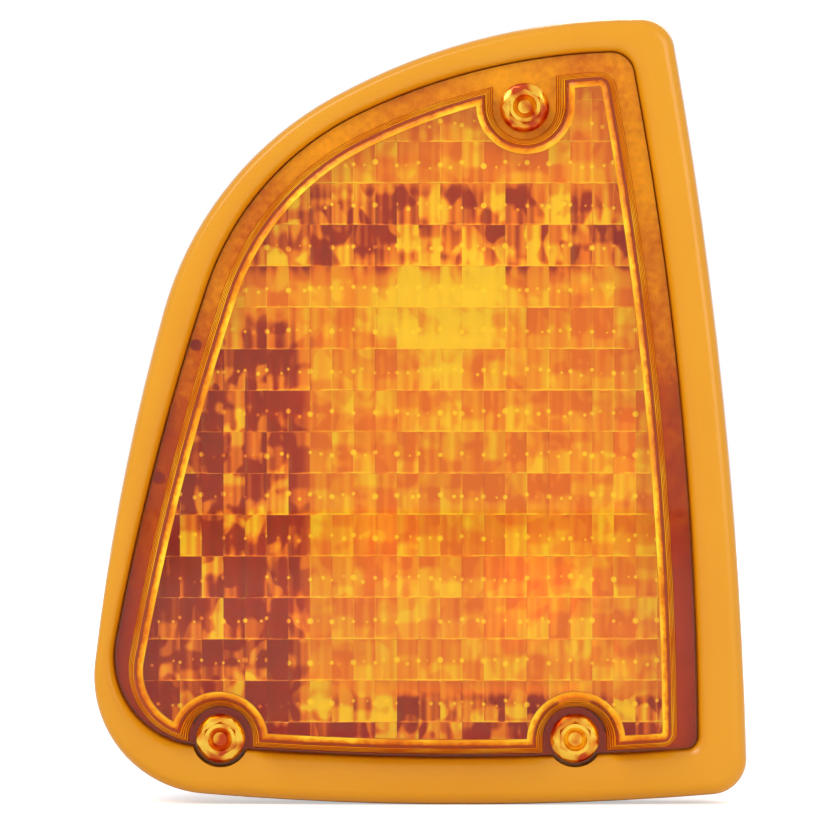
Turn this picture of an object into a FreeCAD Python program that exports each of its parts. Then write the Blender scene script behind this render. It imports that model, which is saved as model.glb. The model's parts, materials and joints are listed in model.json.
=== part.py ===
import FreeCAD, Part
import math
import os

Vector = FreeCAD.Vector

# The lamp faces -Y, with +Z up. The origin lies on the panel that its gasket seals against.
# Sizes are millimetres. Outlines list their sides as top, right, bottom, left, and their
# corners as top left, top right, bottom right, bottom left.

# Rim: the corners where its bowed sides would meet, and how far those sides bow
RIM_BOTTOM_WIDTH = 138.6
RIM_BOTTOM_RISE = 2.1
RIM_RIGHT_HEIGHT = 161.3
RIM_RIGHT_LEAN = 16.3
RIM_LEFT_HEIGHT = 122.3
RIM_LEFT_LEAN = 24.0
RIM_TOP_BOW_RADIUS = 132.5
RIM_RIGHT_BOW_RADIUS = 1001.0
RIM_BOTTOM_BOW_RADIUS = 650.0
RIM_LEFT_BOW_RADIUS = 483.0
RIM_SHOULDER_RADIUS = 73.6
RIM_TOP_RIGHT_RADIUS = 6.9
RIM_BOTTOM_RIGHT_RADIUS = 7.5
RIM_BOTTOM_LEFT_RADIUS = 24.6

# Opening in the bezel: its corners from the rim's corners, and its own bows
OPENING_TOP_LEFT_IN = 8.9
OPENING_TOP_LEFT_UP = 1.9
OPENING_TOP_RIGHT_IN = 8.0
OPENING_TOP_RIGHT_DOWN = 6.6
OPENING_BOTTOM_RIGHT_IN = 10.2
OPENING_BOTTOM_RIGHT_UP = 8.9
OPENING_BOTTOM_LEFT_IN = 3.1
OPENING_BOTTOM_LEFT_UP = 9.4
OPENING_TOP_BOW_RADIUS = 131.0
OPENING_RIGHT_BOW_RADIUS = 790.0
OPENING_BOTTOM_BOW_RADIUS = 650.0
OPENING_LEFT_BOW_RADIUS = 581.0
OPENING_SHOULDER_RADIUS = 61.6
OPENING_TOP_RIGHT_RADIUS = 5.2
OPENING_BOTTOM_RIGHT_RADIUS = 2.8
OPENING_BOTTOM_LEFT_RADIUS = 18.8
SMALLEST_ROUND = 0.6

# Depths of the clamped stack, each measured from the piece behind it
MOUNTING_GASKET_THICKNESS = 3.0
FLANGE_THICKNESS = 5.0
LIP_THICKNESS = 2.5
LENS_GASKET_THICKNESS = 1.5
LENS_FLANGE_THICKNESS = 3.0
BLOCK_HEIGHT = 9.0

# Lens screws, from the opening's corners
TOP_SCREW_LEFT = 22.3
TOP_SCREW_DOWN = 11.9
LEFT_SCREW_IN = 25.5
LEFT_SCREW_DOWN = 0.3
RIGHT_SCREW_IN = 25.9
RIGHT_SCREW_UP = 2.3
SCREW_RADIUS = 2.08
SCREW_LENGTH = 11.1
SCREW_TIP = 1.2
SCREW_HOLE_RADIUS = 2.3
HEX_ACROSS_FLATS = 6.35
HEX_HEIGHT = 3.2
HEX_CHAMFER = 0.45
HEX_DISH_RADIUS = 2.5
HEX_DISH_DEPTH = 1.1
WASHER_RADIUS = 5.1
WASHER_THICKNESS = 1.1
WASHER_EDGE = 0.6
INSERT_RADIUS = 3.2
INSERT_SINK = 0.4
THREAD_CLEARANCE = 0.05

# Bezel section, its steps across the band as shares from rim to opening
CREST_OUTER_SHARE = 0.30
CREST_INNER_SHARE = 0.64
SKIRT_SHARE = 0.20
INNER_WALL_SHARE = 0.75
CREST_ABOVE_LENS = 2.2
INNER_EDGE_ABOVE_LENS = 0.9
SHOULDER_BELOW_CREST = 3.0
BEZEL_SKIN = 2.4
SKIRT_PANEL_GAP = 0.4
LIP_WIDTH = 4.2
LAND_RADIUS = 6.2
EAR_RADIUS = 5.6
EAR_CLEARANCE = 0.4
SCALLOP_WALL = 1.4

# Lens block
LENS_CLEARANCE = 0.3
BLOCK_TOP_INSET = 4.2
BLOCK_RIGHT_INSET = 4.4
BLOCK_BOTTOM_INSET = 0.8
BLOCK_LEFT_INSET = 3.5
BLOCK_SHOULDER_RADIUS = 57.0
BLOCK_TOP_RIGHT_RADIUS = 4.0
BLOCK_BOTTOM_RIGHT_RADIUS = 3.5
BLOCK_BOTTOM_LEFT_RADIUS = 15.5
BLOCK_DRAFT = 1.4
BLOCK_EDGE_ROUND = 2.2
EDGE_STEPS = 3
LENS_WALL = 2.6
NOTCH_RADIUS = 6.6
NUB_RADIUS = 1.2
NUB_HEIGHT = 0.5
NUB_HEIGHTS = (12.6, -15.2)

# Pillow optics on the inner face of the lens
OPTIC_ROW_PITCH = 8.6
OPTIC_ROW_PHASE = 3.1
OPTIC_COLUMN_PITCH = 4.5
OPTIC_COLUMN_PHASE = 0.6
OPTIC_RISE = 1.2
PILLOW_CROWN_ACROSS = 0.45
PILLOW_CROWN_ALONG = 0.4
PILLOW_APEX_DROP = 0.9
PILLOW_ROOT = 1.2

# Lens gasket
GASKET_CLEARANCE = 0.4
LENS_GASKET_WIDTH = 4.3

# Housing bowl
BOWL_INSET = 4.0
BOWL_DEPTH = 38.0
BOWL_TAPER = 7.0
BOWL_WALL = 2.5
BOWL_SHOULDER_RADIUS = 55.0
BOWL_TOP_RIGHT_RADIUS = 11.0
BOWL_BOTTOM_RIGHT_RADIUS = 10.0
BOWL_BOTTOM_LEFT_RADIUS = 16.0
BOWL_BACK_ROUND = 6.0
FLANGE_CLEARANCE = 0.3

# Mounting studs, by height on their side of the rim
STUD_RADIUS = 2.5
STUD_REACH = 17.0
STUD_TIP = 1.0
STUD_COLLAR_RADIUS = 2.9
STUD_HEAD_RADIUS = 3.7
STUD_HEAD_THICKNESS = 2.2
STUD_HEAD_COVER = 1.0
STUD_FROM_RIM = 7.2
LEFT_STUD_HEIGHT = 14.0
UPPER_STUD_HEIGHT = 58.0
LOWER_STUD_HEIGHT = -58.0
STUD_HOLE_CLEARANCE = 0.2
MOUNTING_GASKET_INSET = 0.5
MOUNTING_GASKET_BOWL_GAP = 0.5

# Bulb: a two-filament bayonet bulb on an axis along Y
BULB_X = 11.0
BULB_Z = -18.5
BULB_LENGTH = 50.8
GLOBE_RADIUS = 13.25
GLOBE_SHARE = 0.83
NECK_RADIUS = 7.0
GLASS_WALL = 0.7
CAP_RADIUS = 7.6
CAP_WALL = 0.5
CAP_LENGTH = 19.0
CAP_LIP = 2.2
CAP_GRIP = 2.5
PIN_RADIUS = 1.0
PIN_REACH = 1.1
UPPER_PIN_BACK = 6.5
LOWER_PIN_BACK = 9.0
STEM_FLARE_RADIUS = 6.1
STEM_FLARE_LENGTH = 2.0
STEM_RADIUS = 2.6
PINCH_WIDTH = 9.0
PINCH_THICKNESS = 4.6
PINCH_LENGTH = 6.0
WIRE_RADIUS = 0.35
WIRE_SPREAD = 3.4
WIRE_OFFSET = 1.4
FILAMENT_RADIUS = 0.4
FILAMENT_STEP = 3.0
INSULATOR_LENGTH = 2.0
INSULATOR_NOSE = 0.8
CONTACT_SPREAD = 3.2
CONTACT_RADIUS = 1.6
CONTACT_HEIGHT = 0.5
BULB_BEHIND_LENS = 9.6

# Reflector: a dish about the bulb axis inside a tub that follows the bowl
FOCAL_LENGTH = 20.0
REFLECTOR_WALL = 1.5
REFLECTOR_NECK_RADIUS = 14.6
REFLECTOR_INSET = 11.5
REFLECTOR_LEFT = 35.0
REFLECTOR_FRONT_SINK = 0.5
TAB_RADIUS = 4.2
TAB_REACH = 5.5
LEFT_TAB_UP = 20.0
LEFT_TAB_DOWN = 24.0
TAB_SCREW_RADIUS = 1.5
TAB_SCREW_LENGTH = 9.0
TAB_HEAD_RADIUS = 2.8
TAB_HEAD_HEIGHT = 1.8
TAB_RECESS_DEPTH = 0.9
TAB_RECESS_WIDTH = 0.8
POST_TOP_RADIUS = 3.6
POST_FOOT_RADIUS = 5.0

# Twist-lock socket
SOCKET_BARREL_RADIUS = 11.5
SOCKET_BORE_CLEARANCE = 0.1
SOCKET_BARREL_FRONT = 6.5
SOCKET_HOLE_CLEARANCE = 0.3
LUG_COUNT = 3
LUG_REACH = 3.3
LUG_SWEEP = 34.0
LUG_SWEEP_CLEARANCE = 4.0
LUG_THICKNESS = 2.7
LUG_GAP = 0.2
SOCKET_SEAL_THICKNESS = 1.6
SOCKET_SEAL_RADIUS = 18.6
SOCKET_SEAL_WIDTH = 2.8
SOCKET_FLANGE_RADIUS = 19.6
SOCKET_FLANGE_THICKNESS = 3.0
SOCKET_FLOOR = 3.0
HUB_RADIUS = 17.0
GRIP_COUNT = 6
GRIP_REACH = 1.8
GRIP_WIDTH = 3.0
SLEEVE_WALL = 0.5
SLEEVE_CLEARANCE = 0.2
SLEEVE_LENGTH = 19.2
SLEEVE_SLOT_GAP = 0.25
SLEEVE_TURN = 22.0
CARRIER_THICKNESS = 1.8
CARRIER_GAP = 0.4
CONNECTOR_WIDTH = 22.0
CONNECTOR_HEIGHT = 24.0
CONNECTOR_ROUND = 3.0
CONNECTOR_WALL = 1.8
CONNECTOR_DEPTH = 17.0
LATCH_WIDTH = 7.0
LATCH_HEIGHT = 1.8
LATCH_LENGTH = 3.0
LATCH_BACK = 4.0
BLADE_WIDTH = 2.8
BLADE_THICKNESS = 0.8
BLADE_INSET = 3.0
BLADE_SPREAD = 4.4
BLADE_FIT = 0.05
PAD_LENGTH = 3.6
PAD_WIDTH = 3.0
PAD_THICKNESS = 0.5
CONTACT_GAP = 0.1

# Breather
VENT_X = -32.0
VENT_Z = -20.0
NIPPLE_RADIUS = 2.5
NIPPLE_BORE = 1.2
NIPPLE_HEIGHT = 5.0
VENT_CAP_RADIUS = 4.6
VENT_CAP_HEIGHT = 6.2
VENT_FIT = 0.1
VENT_STANDOFF = 0.4
VENT_CAP_EDGE = 1.0

TOP, RIGHT, BOTTOM, LEFT = range(4)
SIDES = 4
HEX_SIDES = 6
OVERSHOOT = 1.0
FAR = 400.0
ALONG_X = Vector(1, 0, 0)
ALONG_Y = Vector(0, 1, 0)
UP = Vector(0, 0, 1)
DOWN = Vector(0, 0, -1)


def at(point, depth):
    """The point moved to a depth along Y."""
    return Vector(point.x, depth, point.z)


def bow_centre(start, end, radius):
    """Centre of the arc from start to end, on the right of the way along it."""
    chord = end - start
    inward = Vector(chord.z, 0, -chord.x).normalize()
    rise = math.sqrt(radius ** 2 - (chord.Length / 2) ** 2)
    return (start + end) * 0.5 + inward * rise


def turn_point(first, first_radius, second, second_radius):
    """Point at the two distances from the two centres, at a clockwise turn."""
    span = second - first
    distance = span.Length
    along = span * (1 / distance)
    share = (first_radius ** 2 - second_radius ** 2 + distance ** 2) / (2 * distance)
    height = math.sqrt(first_radius ** 2 - share ** 2)
    return first + along * share + Vector(along.z, 0, -along.x) * height


def arc_about(centre, start, end, depth):
    """Short arc about the centre from start to end, at a depth."""
    outward = (start - centre) + (end - centre)
    middle = centre + outward.normalize() * (start - centre).Length
    return Part.Arc(at(start, depth), at(middle, depth), at(end, depth)).toShape()


class Outline:
    """Closed outline of four bowed sides that run into four round corners."""

    def __init__(self, centres, radii, rounds):
        self.centres = centres
        self.radii = radii
        self.rounds = rounds

    @classmethod
    def through(cls, corners, radii, rounds):
        """Outline whose sides would meet at the corners."""
        centres = []
        for side in range(SIDES):
            end = corners[(side + 1) % SIDES]
            centres.append(bow_centre(corners[side], end, radii[side]))
        return cls(centres, radii, rounds)

    def inset(self, amounts, rounds=None):
        """Outline with its sides moved in, by one amount or one for each side."""
        if not isinstance(amounts, (list, tuple)):
            amounts = [amounts] * SIDES
        radii = [radius - amount for radius, amount in zip(self.radii, amounts)]
        if rounds is None:
            rounds = [max(corner - amounts[0], SMALLEST_ROUND) for corner in self.rounds]
        return Outline(self.centres, radii, rounds)

    def blend(self, other, share):
        """Outline at a share of the way to another one."""
        centres = [a + (b - a) * share for a, b in zip(self.centres, other.centres)]
        radii = [a + (b - a) * share for a, b in zip(self.radii, other.radii)]
        rounds = [a + (b - a) * share for a, b in zip(self.rounds, other.rounds)]
        return Outline(centres, radii, rounds)

    def round_centre(self, corner):
        """Centre of a round corner, which touches the sides before and after it."""
        corner = corner % SIDES
        before = (corner - 1) % SIDES
        size = self.rounds[corner]
        return turn_point(self.centres[before], self.radii[before] - size,
                          self.centres[corner], self.radii[corner] - size)

    def touch(self, side, corner):
        """Point where a side runs into a round corner."""
        side = side % SIDES
        outward = (self.round_centre(corner) - self.centres[side]).normalize()
        return self.centres[side] + outward * self.radii[side]

    def wire(self, depth):
        """The outline as a wire at a depth."""
        edges = []
        for side in range(SIDES):
            start = self.touch(side, side)
            end = self.touch(side, side + 1)
            edges.append(arc_about(self.centres[side], start, end, depth))
            following = self.touch(side + 1, side + 1)
            edges.append(arc_about(self.round_centre(side + 1), end, following, depth))
        return Part.Wire(edges)

    def prism(self, front, back):
        """Solid of this outline between two depths."""
        return Part.Face(self.wire(front)).extrude(Vector(0, back - front, 0))

    def side_x(self, side, height):
        """X of the left or right side at a height."""
        centre = self.centres[side]
        reach = math.sqrt(self.radii[side] ** 2 - (height - centre.z) ** 2)
        if side == LEFT:
            return centre.x - reach
        return centre.x + reach


def loft(sections):
    """Solid ruled between outline wires, front to back."""
    return Part.makeLoft(sections, True, True)


def rod(centre, radius, front, back):
    """Cylinder along Y."""
    return Part.makeCylinder(radius, back - front, at(centre, front), ALONG_Y)


def box(low, high):
    """Block between two corners."""
    size = high - low
    return Part.makeBox(size.x, size.y, size.z, low)


def turned(profile, centre):
    """Solid turned about an axis along Y, from (radius, depth) points or edges in the XY plane."""
    if not isinstance(profile[0], Part.Edge):
        points = [Vector(radius, depth, 0) for radius, depth in profile]
        profile = Part.makePolygon(points + points[:1]).Edges
    face = Part.Face(Part.Wire(profile))
    solid = face.revolve(Vector(0, 0, 0), ALONG_Y, 360)
    return solid.translated(Vector(centre.x, 0, centre.z))


def tongue_wire(centre, radius, direction, reach, depth):
    """U round a centre, open along a direction."""
    across = Vector(direction.z, 0, -direction.x) * radius
    near = at(centre + across, depth)
    far = at(centre - across, depth)
    tip = at(centre - direction * radius, depth)
    end = direction * reach
    arc = Part.Arc(far, tip, near).toShape()
    legs = Part.makePolygon([near, near + end, far + end, far])
    return Part.Wire([arc] + legs.Edges)


def tongue(centre, radius, direction, reach, front, back):
    """U-shaped solid round a centre."""
    face = Part.Face(tongue_wire(centre, radius, direction, reach, front))
    return face.extrude(Vector(0, back - front, 0))


def joined(solids):
    """One solid from several that overlap or touch."""
    return solids[0].multiFuse(solids[1:]).removeSplitter()


# Outlines
RIM_BOTTOM_RIGHT = Vector(RIM_BOTTOM_WIDTH / 2, 0, -RIM_RIGHT_HEIGHT / 2)
RIM_TOP_RIGHT = RIM_BOTTOM_RIGHT + Vector(-RIM_RIGHT_LEAN, 0, RIM_RIGHT_HEIGHT)
RIM_BOTTOM_LEFT = RIM_BOTTOM_RIGHT + Vector(-RIM_BOTTOM_WIDTH, 0, RIM_BOTTOM_RISE)
RIM_TOP_LEFT = RIM_BOTTOM_LEFT + Vector(RIM_LEFT_LEAN, 0, RIM_LEFT_HEIGHT)
RIM = Outline.through(
    [RIM_TOP_LEFT, RIM_TOP_RIGHT, RIM_BOTTOM_RIGHT, RIM_BOTTOM_LEFT],
    [RIM_TOP_BOW_RADIUS, RIM_RIGHT_BOW_RADIUS, RIM_BOTTOM_BOW_RADIUS, RIM_LEFT_BOW_RADIUS],
    [RIM_SHOULDER_RADIUS, RIM_TOP_RIGHT_RADIUS, RIM_BOTTOM_RIGHT_RADIUS, RIM_BOTTOM_LEFT_RADIUS])

OPENING_TOP_LEFT = RIM_TOP_LEFT + Vector(OPENING_TOP_LEFT_IN, 0, OPENING_TOP_LEFT_UP)
OPENING_TOP_RIGHT = RIM_TOP_RIGHT - Vector(OPENING_TOP_RIGHT_IN, 0, OPENING_TOP_RIGHT_DOWN)
OPENING_BOTTOM_RIGHT = RIM_BOTTOM_RIGHT + Vector(-OPENING_BOTTOM_RIGHT_IN, 0, OPENING_BOTTOM_RIGHT_UP)
OPENING_BOTTOM_LEFT = RIM_BOTTOM_LEFT + Vector(OPENING_BOTTOM_LEFT_IN, 0, OPENING_BOTTOM_LEFT_UP)
OPENING = Outline.through(
    [OPENING_TOP_LEFT, OPENING_TOP_RIGHT, OPENING_BOTTOM_RIGHT, OPENING_BOTTOM_LEFT],
    [OPENING_TOP_BOW_RADIUS, OPENING_RIGHT_BOW_RADIUS, OPENING_BOTTOM_BOW_RADIUS, OPENING_LEFT_BOW_RADIUS],
    [OPENING_SHOULDER_RADIUS, OPENING_TOP_RIGHT_RADIUS, OPENING_BOTTOM_RIGHT_RADIUS,
     OPENING_BOTTOM_LEFT_RADIUS])

BLOCK_INSETS = [BLOCK_TOP_INSET, BLOCK_RIGHT_INSET, BLOCK_BOTTOM_INSET, BLOCK_LEFT_INSET]
BLOCK = OPENING.inset(BLOCK_INSETS, [BLOCK_SHOULDER_RADIUS, BLOCK_TOP_RIGHT_RADIUS,
                                     BLOCK_BOTTOM_RIGHT_RADIUS, BLOCK_BOTTOM_LEFT_RADIUS])

BOWL_ROUNDS = [BOWL_SHOULDER_RADIUS, BOWL_TOP_RIGHT_RADIUS, BOWL_BOTTOM_RIGHT_RADIUS,
               BOWL_BOTTOM_LEFT_RADIUS]
FLANGE = RIM.blend(OPENING, SKIRT_SHARE).inset(FLANGE_CLEARANCE)

# Depths, front to back
PANEL = 0.0
FLANGE_BACK = PANEL - MOUNTING_GASKET_THICKNESS
FLANGE_FRONT = FLANGE_BACK - FLANGE_THICKNESS
LIP_FRONT = FLANGE_FRONT - LIP_THICKNESS
LENS_BACK = LIP_FRONT - LENS_GASKET_THICKNESS
LENS_FRONT = LENS_BACK - LENS_FLANGE_THICKNESS
BLOCK_FRONT = LENS_FRONT - BLOCK_HEIGHT
FACE_BACK = BLOCK_FRONT + LENS_WALL
OPTIC_APEX = FACE_BACK + OPTIC_RISE
CREST = LENS_FRONT - CREST_ABOVE_LENS
INNER_EDGE = LENS_FRONT - INNER_EDGE_ABOVE_LENS
SHOULDER = CREST + SHOULDER_BELOW_CREST
SKIRT_BACK = FLANGE_BACK - SKIRT_PANEL_GAP
BOWL_FLOOR = BOWL_DEPTH - BOWL_WALL
INSERT_BACK = FLANGE_BACK - INSERT_SINK

# Screw places, each with the way its notch in the lens block opens
TOP_SCREW = OPENING_TOP_RIGHT - Vector(TOP_SCREW_LEFT, 0, TOP_SCREW_DOWN)
LEFT_SCREW = OPENING_BOTTOM_LEFT + Vector(LEFT_SCREW_IN, 0, -LEFT_SCREW_DOWN)
RIGHT_SCREW = OPENING_BOTTOM_RIGHT + Vector(-RIGHT_SCREW_IN, 0, RIGHT_SCREW_UP)
LOWER_SCREWS = [LEFT_SCREW, RIGHT_SCREW]
SCREWS = [TOP_SCREW] + LOWER_SCREWS
NOTCH_WAYS = [UP, DOWN, DOWN]
NOTCH_REACH = RIM_RIGHT_HEIGHT / 4

# Stud places on the flange
STUDS = [
    Vector(RIM.side_x(LEFT, LEFT_STUD_HEIGHT) + STUD_FROM_RIM, 0, LEFT_STUD_HEIGHT),
    Vector(RIM.side_x(RIGHT, UPPER_STUD_HEIGHT) - STUD_FROM_RIM, 0, UPPER_STUD_HEIGHT),
    Vector(RIM.side_x(RIGHT, LOWER_STUD_HEIGHT) - STUD_FROM_RIM, 0, LOWER_STUD_HEIGHT)]

# Bulb and socket depths on the bulb's axis
BULB_AXIS = Vector(BULB_X, 0, BULB_Z)
BULB_TIP = OPTIC_APEX + BULB_BEHIND_LENS
BULB_END = BULB_TIP + BULB_LENGTH
GLOBE_CENTRE = BULB_TIP + GLOBE_RADIUS
CONTACT_BASE = BULB_END - CONTACT_HEIGHT
CAP_BACK = CONTACT_BASE - INSULATOR_NOSE
CAP_FRONT = CAP_BACK - CAP_LENGTH
GLASS_BACK = CAP_FRONT + CAP_GRIP
INSULATOR_FRONT = CAP_BACK - INSULATOR_LENGTH
PINCH_BACK = GLASS_BACK - STEM_FLARE_LENGTH
PINCH_FRONT = PINCH_BACK - PINCH_LENGTH
MAIN_FILAMENT = GLOBE_CENTRE
SECOND_FILAMENT = GLOBE_CENTRE + FILAMENT_STEP

SLEEVE_BORE = CAP_RADIUS + SLEEVE_CLEARANCE
SLEEVE_RADIUS = SLEEVE_BORE + SLEEVE_WALL
SOCKET_BORE = SLEEVE_RADIUS + SOCKET_BORE_CLEARANCE
PAD_FRONT = BULB_END + CONTACT_GAP
CARRIER_FRONT = PAD_FRONT + PAD_THICKNESS + CARRIER_GAP
CARRIER_BACK = CARRIER_FRONT + CARRIER_THICKNESS
SLEEVE_BACK = CARRIER_FRONT - CARRIER_GAP
SLEEVE_FRONT = SLEEVE_BACK - SLEEVE_LENGTH
SOCKET_SEAL_BACK = BOWL_DEPTH + SOCKET_SEAL_THICKNESS
SOCKET_FLANGE_BACK = SOCKET_SEAL_BACK + SOCKET_FLANGE_THICKNESS
SOCKET_FLOOR_BACK = CARRIER_BACK + SOCKET_FLOOR
CONNECTOR_BACK = SOCKET_FLOOR_BACK + CONNECTOR_DEPTH
LUG_BACK = BOWL_FLOOR - LUG_GAP
BARREL_FRONT = BOWL_DEPTH - SOCKET_BARREL_FRONT
GROUND_OFFSET = SLEEVE_BORE

# Reflector depths and places
REFLECTOR_FRONT = FLANGE_FRONT + REFLECTOR_FRONT_SINK
DISH_VERTEX = GLOBE_CENTRE + FOCAL_LENGTH
TUB_LEFT = BULB_X - REFLECTOR_LEFT
TAB_BACK = REFLECTOR_FRONT + REFLECTOR_WALL
DISH_RADIUS = math.sqrt(4 * FOCAL_LENGTH * (DISH_VERTEX - REFLECTOR_FRONT))
TABS = [
    (Vector(TUB_LEFT - TAB_REACH, 0, BULB_Z + LEFT_TAB_UP), ALONG_X),
    (Vector(TUB_LEFT - TAB_REACH, 0, BULB_Z - LEFT_TAB_DOWN), ALONG_X),
    (Vector(BULB_X, 0, BULB_Z + DISH_RADIUS + TAB_REACH), DOWN)]
VENT = Vector(VENT_X, 0, VENT_Z)


def window(inset, front, back):
    """The open middle of a ring that is clamped round the lens, less the lands for its screws."""
    opening = OPENING.inset(inset).prism(front, back)
    for place, way in zip(SCREWS, NOTCH_WAYS):
        opening = opening.cut(tongue(place, LAND_RADIUS, way, NOTCH_REACH, front, back))
    return opening


def screw_holes(radius, front, back):
    """Holes for the three lens screws."""
    return [rod(place, radius, front, back) for place in SCREWS]


def crown_steps():
    """Steps over the outer edge of the crown: share of the band, and depth."""
    steps = []
    for index in range(EDGE_STEPS + 1):
        angle = math.pi / 2 * index / EDGE_STEPS
        share = CREST_OUTER_SHARE * (1 - math.cos(angle))
        steps.append((share, SHOULDER - SHOULDER_BELOW_CREST * math.sin(angle)))
    return steps


def funnel_steps():
    """Steps over the inner edge of the crown: share of the band, and depth."""
    steps = []
    for index in range(EDGE_STEPS + 1):
        angle = math.pi / 2 * index / EDGE_STEPS
        share = CREST_INNER_SHARE + (1 - CREST_INNER_SHARE) * math.sin(angle)
        steps.append((share, CREST + (INNER_EDGE - CREST) * (1 - math.cos(angle))))
    return steps


def band_wires(steps):
    """Wires between rim and opening, one for each share and depth."""
    return [RIM.blend(OPENING, share).wire(depth) for share, depth in steps]


def bezel():
    """Raised frame with a hollow crown, and a lip that the lens clamps to the housing."""
    crown = loft([RIM.wire(SKIRT_BACK)] + band_wires(crown_steps()))
    above = (CREST_INNER_SHARE, CREST - OVERSHOOT)
    funnel = loft(band_wires([above] + funnel_steps()) + [OPENING.wire(LIP_FRONT)])
    body = crown.cut(funnel)

    inside_skirt = RIM.blend(OPENING, SKIRT_SHARE)
    inner_wall = RIM.blend(OPENING, INNER_WALL_SHARE)
    hollow_front = CREST + BEZEL_SKIN
    channel = inside_skirt.prism(hollow_front, FLANGE_FRONT)
    channel = channel.cut(inner_wall.prism(hollow_front, FLANGE_FRONT))
    scallop = EAR_RADIUS + EAR_CLEARANCE
    for place in LOWER_SCREWS:
        body = body.cut(rod(place, scallop, CREST - OVERSHOOT, LIP_FRONT))
        channel = channel.cut(rod(place, scallop + SCALLOP_WALL, hollow_front, FLANGE_FRONT))
    body = body.cut(channel)
    body = body.cut(inside_skirt.prism(FLANGE_FRONT, SKIRT_BACK))
    body = body.cut(window(LIP_WIDTH, LIP_FRONT, FLANGE_FRONT))
    return body.cut(screw_holes(SCREW_HOLE_RADIUS, LIP_FRONT, FLANGE_FRONT))


def block_steps():
    """Steps of the block's wall from root to front: how far in, and how deep."""
    steps = [(0.0, LENS_FRONT)]
    for index in range(EDGE_STEPS + 1):
        angle = math.pi / 2 * index / EDGE_STEPS
        inset = BLOCK_DRAFT + BLOCK_EDGE_ROUND * (1 - math.cos(angle))
        steps.append((inset, BLOCK_FRONT + BLOCK_EDGE_ROUND * (1 - math.sin(angle))))
    return steps


def lens_block():
    """Outside of the raised block, with a soft front edge and its notches for the screws."""
    steps = block_steps()
    block = loft([BLOCK.inset(inset).wire(depth) for inset, depth in steps])
    cutters = []
    for place, way in zip(SCREWS, NOTCH_WAYS):
        wires = []
        for inset, depth in steps + [(steps[-1][0], BLOCK_FRONT - OVERSHOOT)]:
            wires.append(tongue_wire(place, NOTCH_RADIUS + inset, way, NOTCH_REACH, depth))
        cutters.append(loft(wires))
    return block.cut(cutters)


def lens_core(wall, front, back):
    """The space a wall's thickness inside the block."""
    draft = BLOCK_DRAFT * (LENS_FRONT - front) / BLOCK_HEIGHT
    core = loft([BLOCK.inset(wall + draft).wire(front), BLOCK.inset(wall).wire(back)])
    for place, way in zip(SCREWS, NOTCH_WAYS):
        radius = NOTCH_RADIUS + wall
        narrow = tongue_wire(place, radius, way, NOTCH_REACH, back)
        core = core.cut(loft([narrow, tongue_wire(place, radius + draft, way, NOTCH_REACH, front)]))
    return core


def pillow_row():
    """One row of pillows at height zero: arcs across it, swept on a long arc along it."""
    left = BLOCK.side_x(LEFT, RIM_BOTTOM_LEFT.z)
    right = BLOCK.side_x(RIGHT, RIM_BOTTOM_RIGHT.z)
    first = math.floor((left - OPTIC_COLUMN_PHASE) / OPTIC_COLUMN_PITCH)
    last = math.ceil((right - OPTIC_COLUMN_PHASE) / OPTIC_COLUMN_PITCH)
    valley = OPTIC_APEX - PILLOW_CROWN_ACROSS
    root = FACE_BACK - PILLOW_ROOT
    edges = []
    for column in range(first, last):
        start = OPTIC_COLUMN_PHASE + column * OPTIC_COLUMN_PITCH
        end = start + OPTIC_COLUMN_PITCH
        crown = Vector((start + end) / 2, OPTIC_APEX, 0)
        edges.append(Part.Arc(Vector(start, valley, 0), crown, Vector(end, valley, 0)).toShape())
    low = OPTIC_COLUMN_PHASE + first * OPTIC_COLUMN_PITCH
    high = OPTIC_COLUMN_PHASE + last * OPTIC_COLUMN_PITCH
    back = Part.makePolygon([Vector(high, valley, 0), Vector(high, root, 0),
                             Vector(low, root, 0), Vector(low, valley, 0)])
    face = Part.Face(Part.Wire(edges + back.Edges))

    reach = OPTIC_ROW_PITCH / 2 + PILLOW_APEX_DROP + SMALLEST_ROUND
    radius = (OPTIC_ROW_PITCH / 2) ** 2 / (2 * PILLOW_CROWN_ALONG)
    swing = math.degrees(math.asin(reach / radius))
    axis = Vector(0, OPTIC_APEX - radius, 0)
    face.rotate(axis, ALONG_X, -swing)
    row = face.revolve(axis, ALONG_X, 2 * swing)
    return row.translated(Vector(0, 0, -PILLOW_APEX_DROP))


def optics():
    """Rows of pillows, trimmed half way into the walls of the lens."""
    core = lens_core(LENS_WALL / 2, FACE_BACK - PILLOW_ROOT / 2, LENS_FRONT)
    bounds = core.BoundBox
    row = pillow_row()
    first = math.floor((bounds.ZMin - OPTIC_ROW_PHASE) / OPTIC_ROW_PITCH)
    last = math.ceil((bounds.ZMax - OPTIC_ROW_PHASE) / OPTIC_ROW_PITCH)
    rows = []
    for index in range(first, last):
        low = OPTIC_ROW_PHASE + index * OPTIC_ROW_PITCH
        slab = box(Vector(-FAR, -FAR, low), Vector(FAR, FAR, low + OPTIC_ROW_PITCH))
        middle = Vector(0, 0, low + OPTIC_ROW_PITCH / 2)
        rows.append(row.translated(middle).common(core.common(slab)))
    return rows


def lens():
    """Clear moulding: flange with ears, hollow block, pillow optics and screw holes."""
    flange = OPENING.inset(LENS_CLEARANCE).prism(LENS_FRONT, LENS_BACK)
    ears = [rod(place, EAR_RADIUS, LENS_FRONT, LENS_BACK) for place in LOWER_SCREWS]
    nubs = []
    for height in NUB_HEIGHTS:
        place = Vector(OPENING.side_x(LEFT, height) + BLOCK_LEFT_INSET / 2, 0, height)
        nubs.append(rod(place, NUB_RADIUS, LENS_FRONT - NUB_HEIGHT, LENS_FRONT))
    shell = joined([flange] + ears + nubs + [lens_block()])
    shell = shell.cut(lens_core(LENS_WALL, FACE_BACK, LENS_BACK))
    shell = shell.cut(screw_holes(SCREW_HOLE_RADIUS, LENS_FRONT, LENS_BACK))
    return shell.multiFuse(optics())


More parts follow.
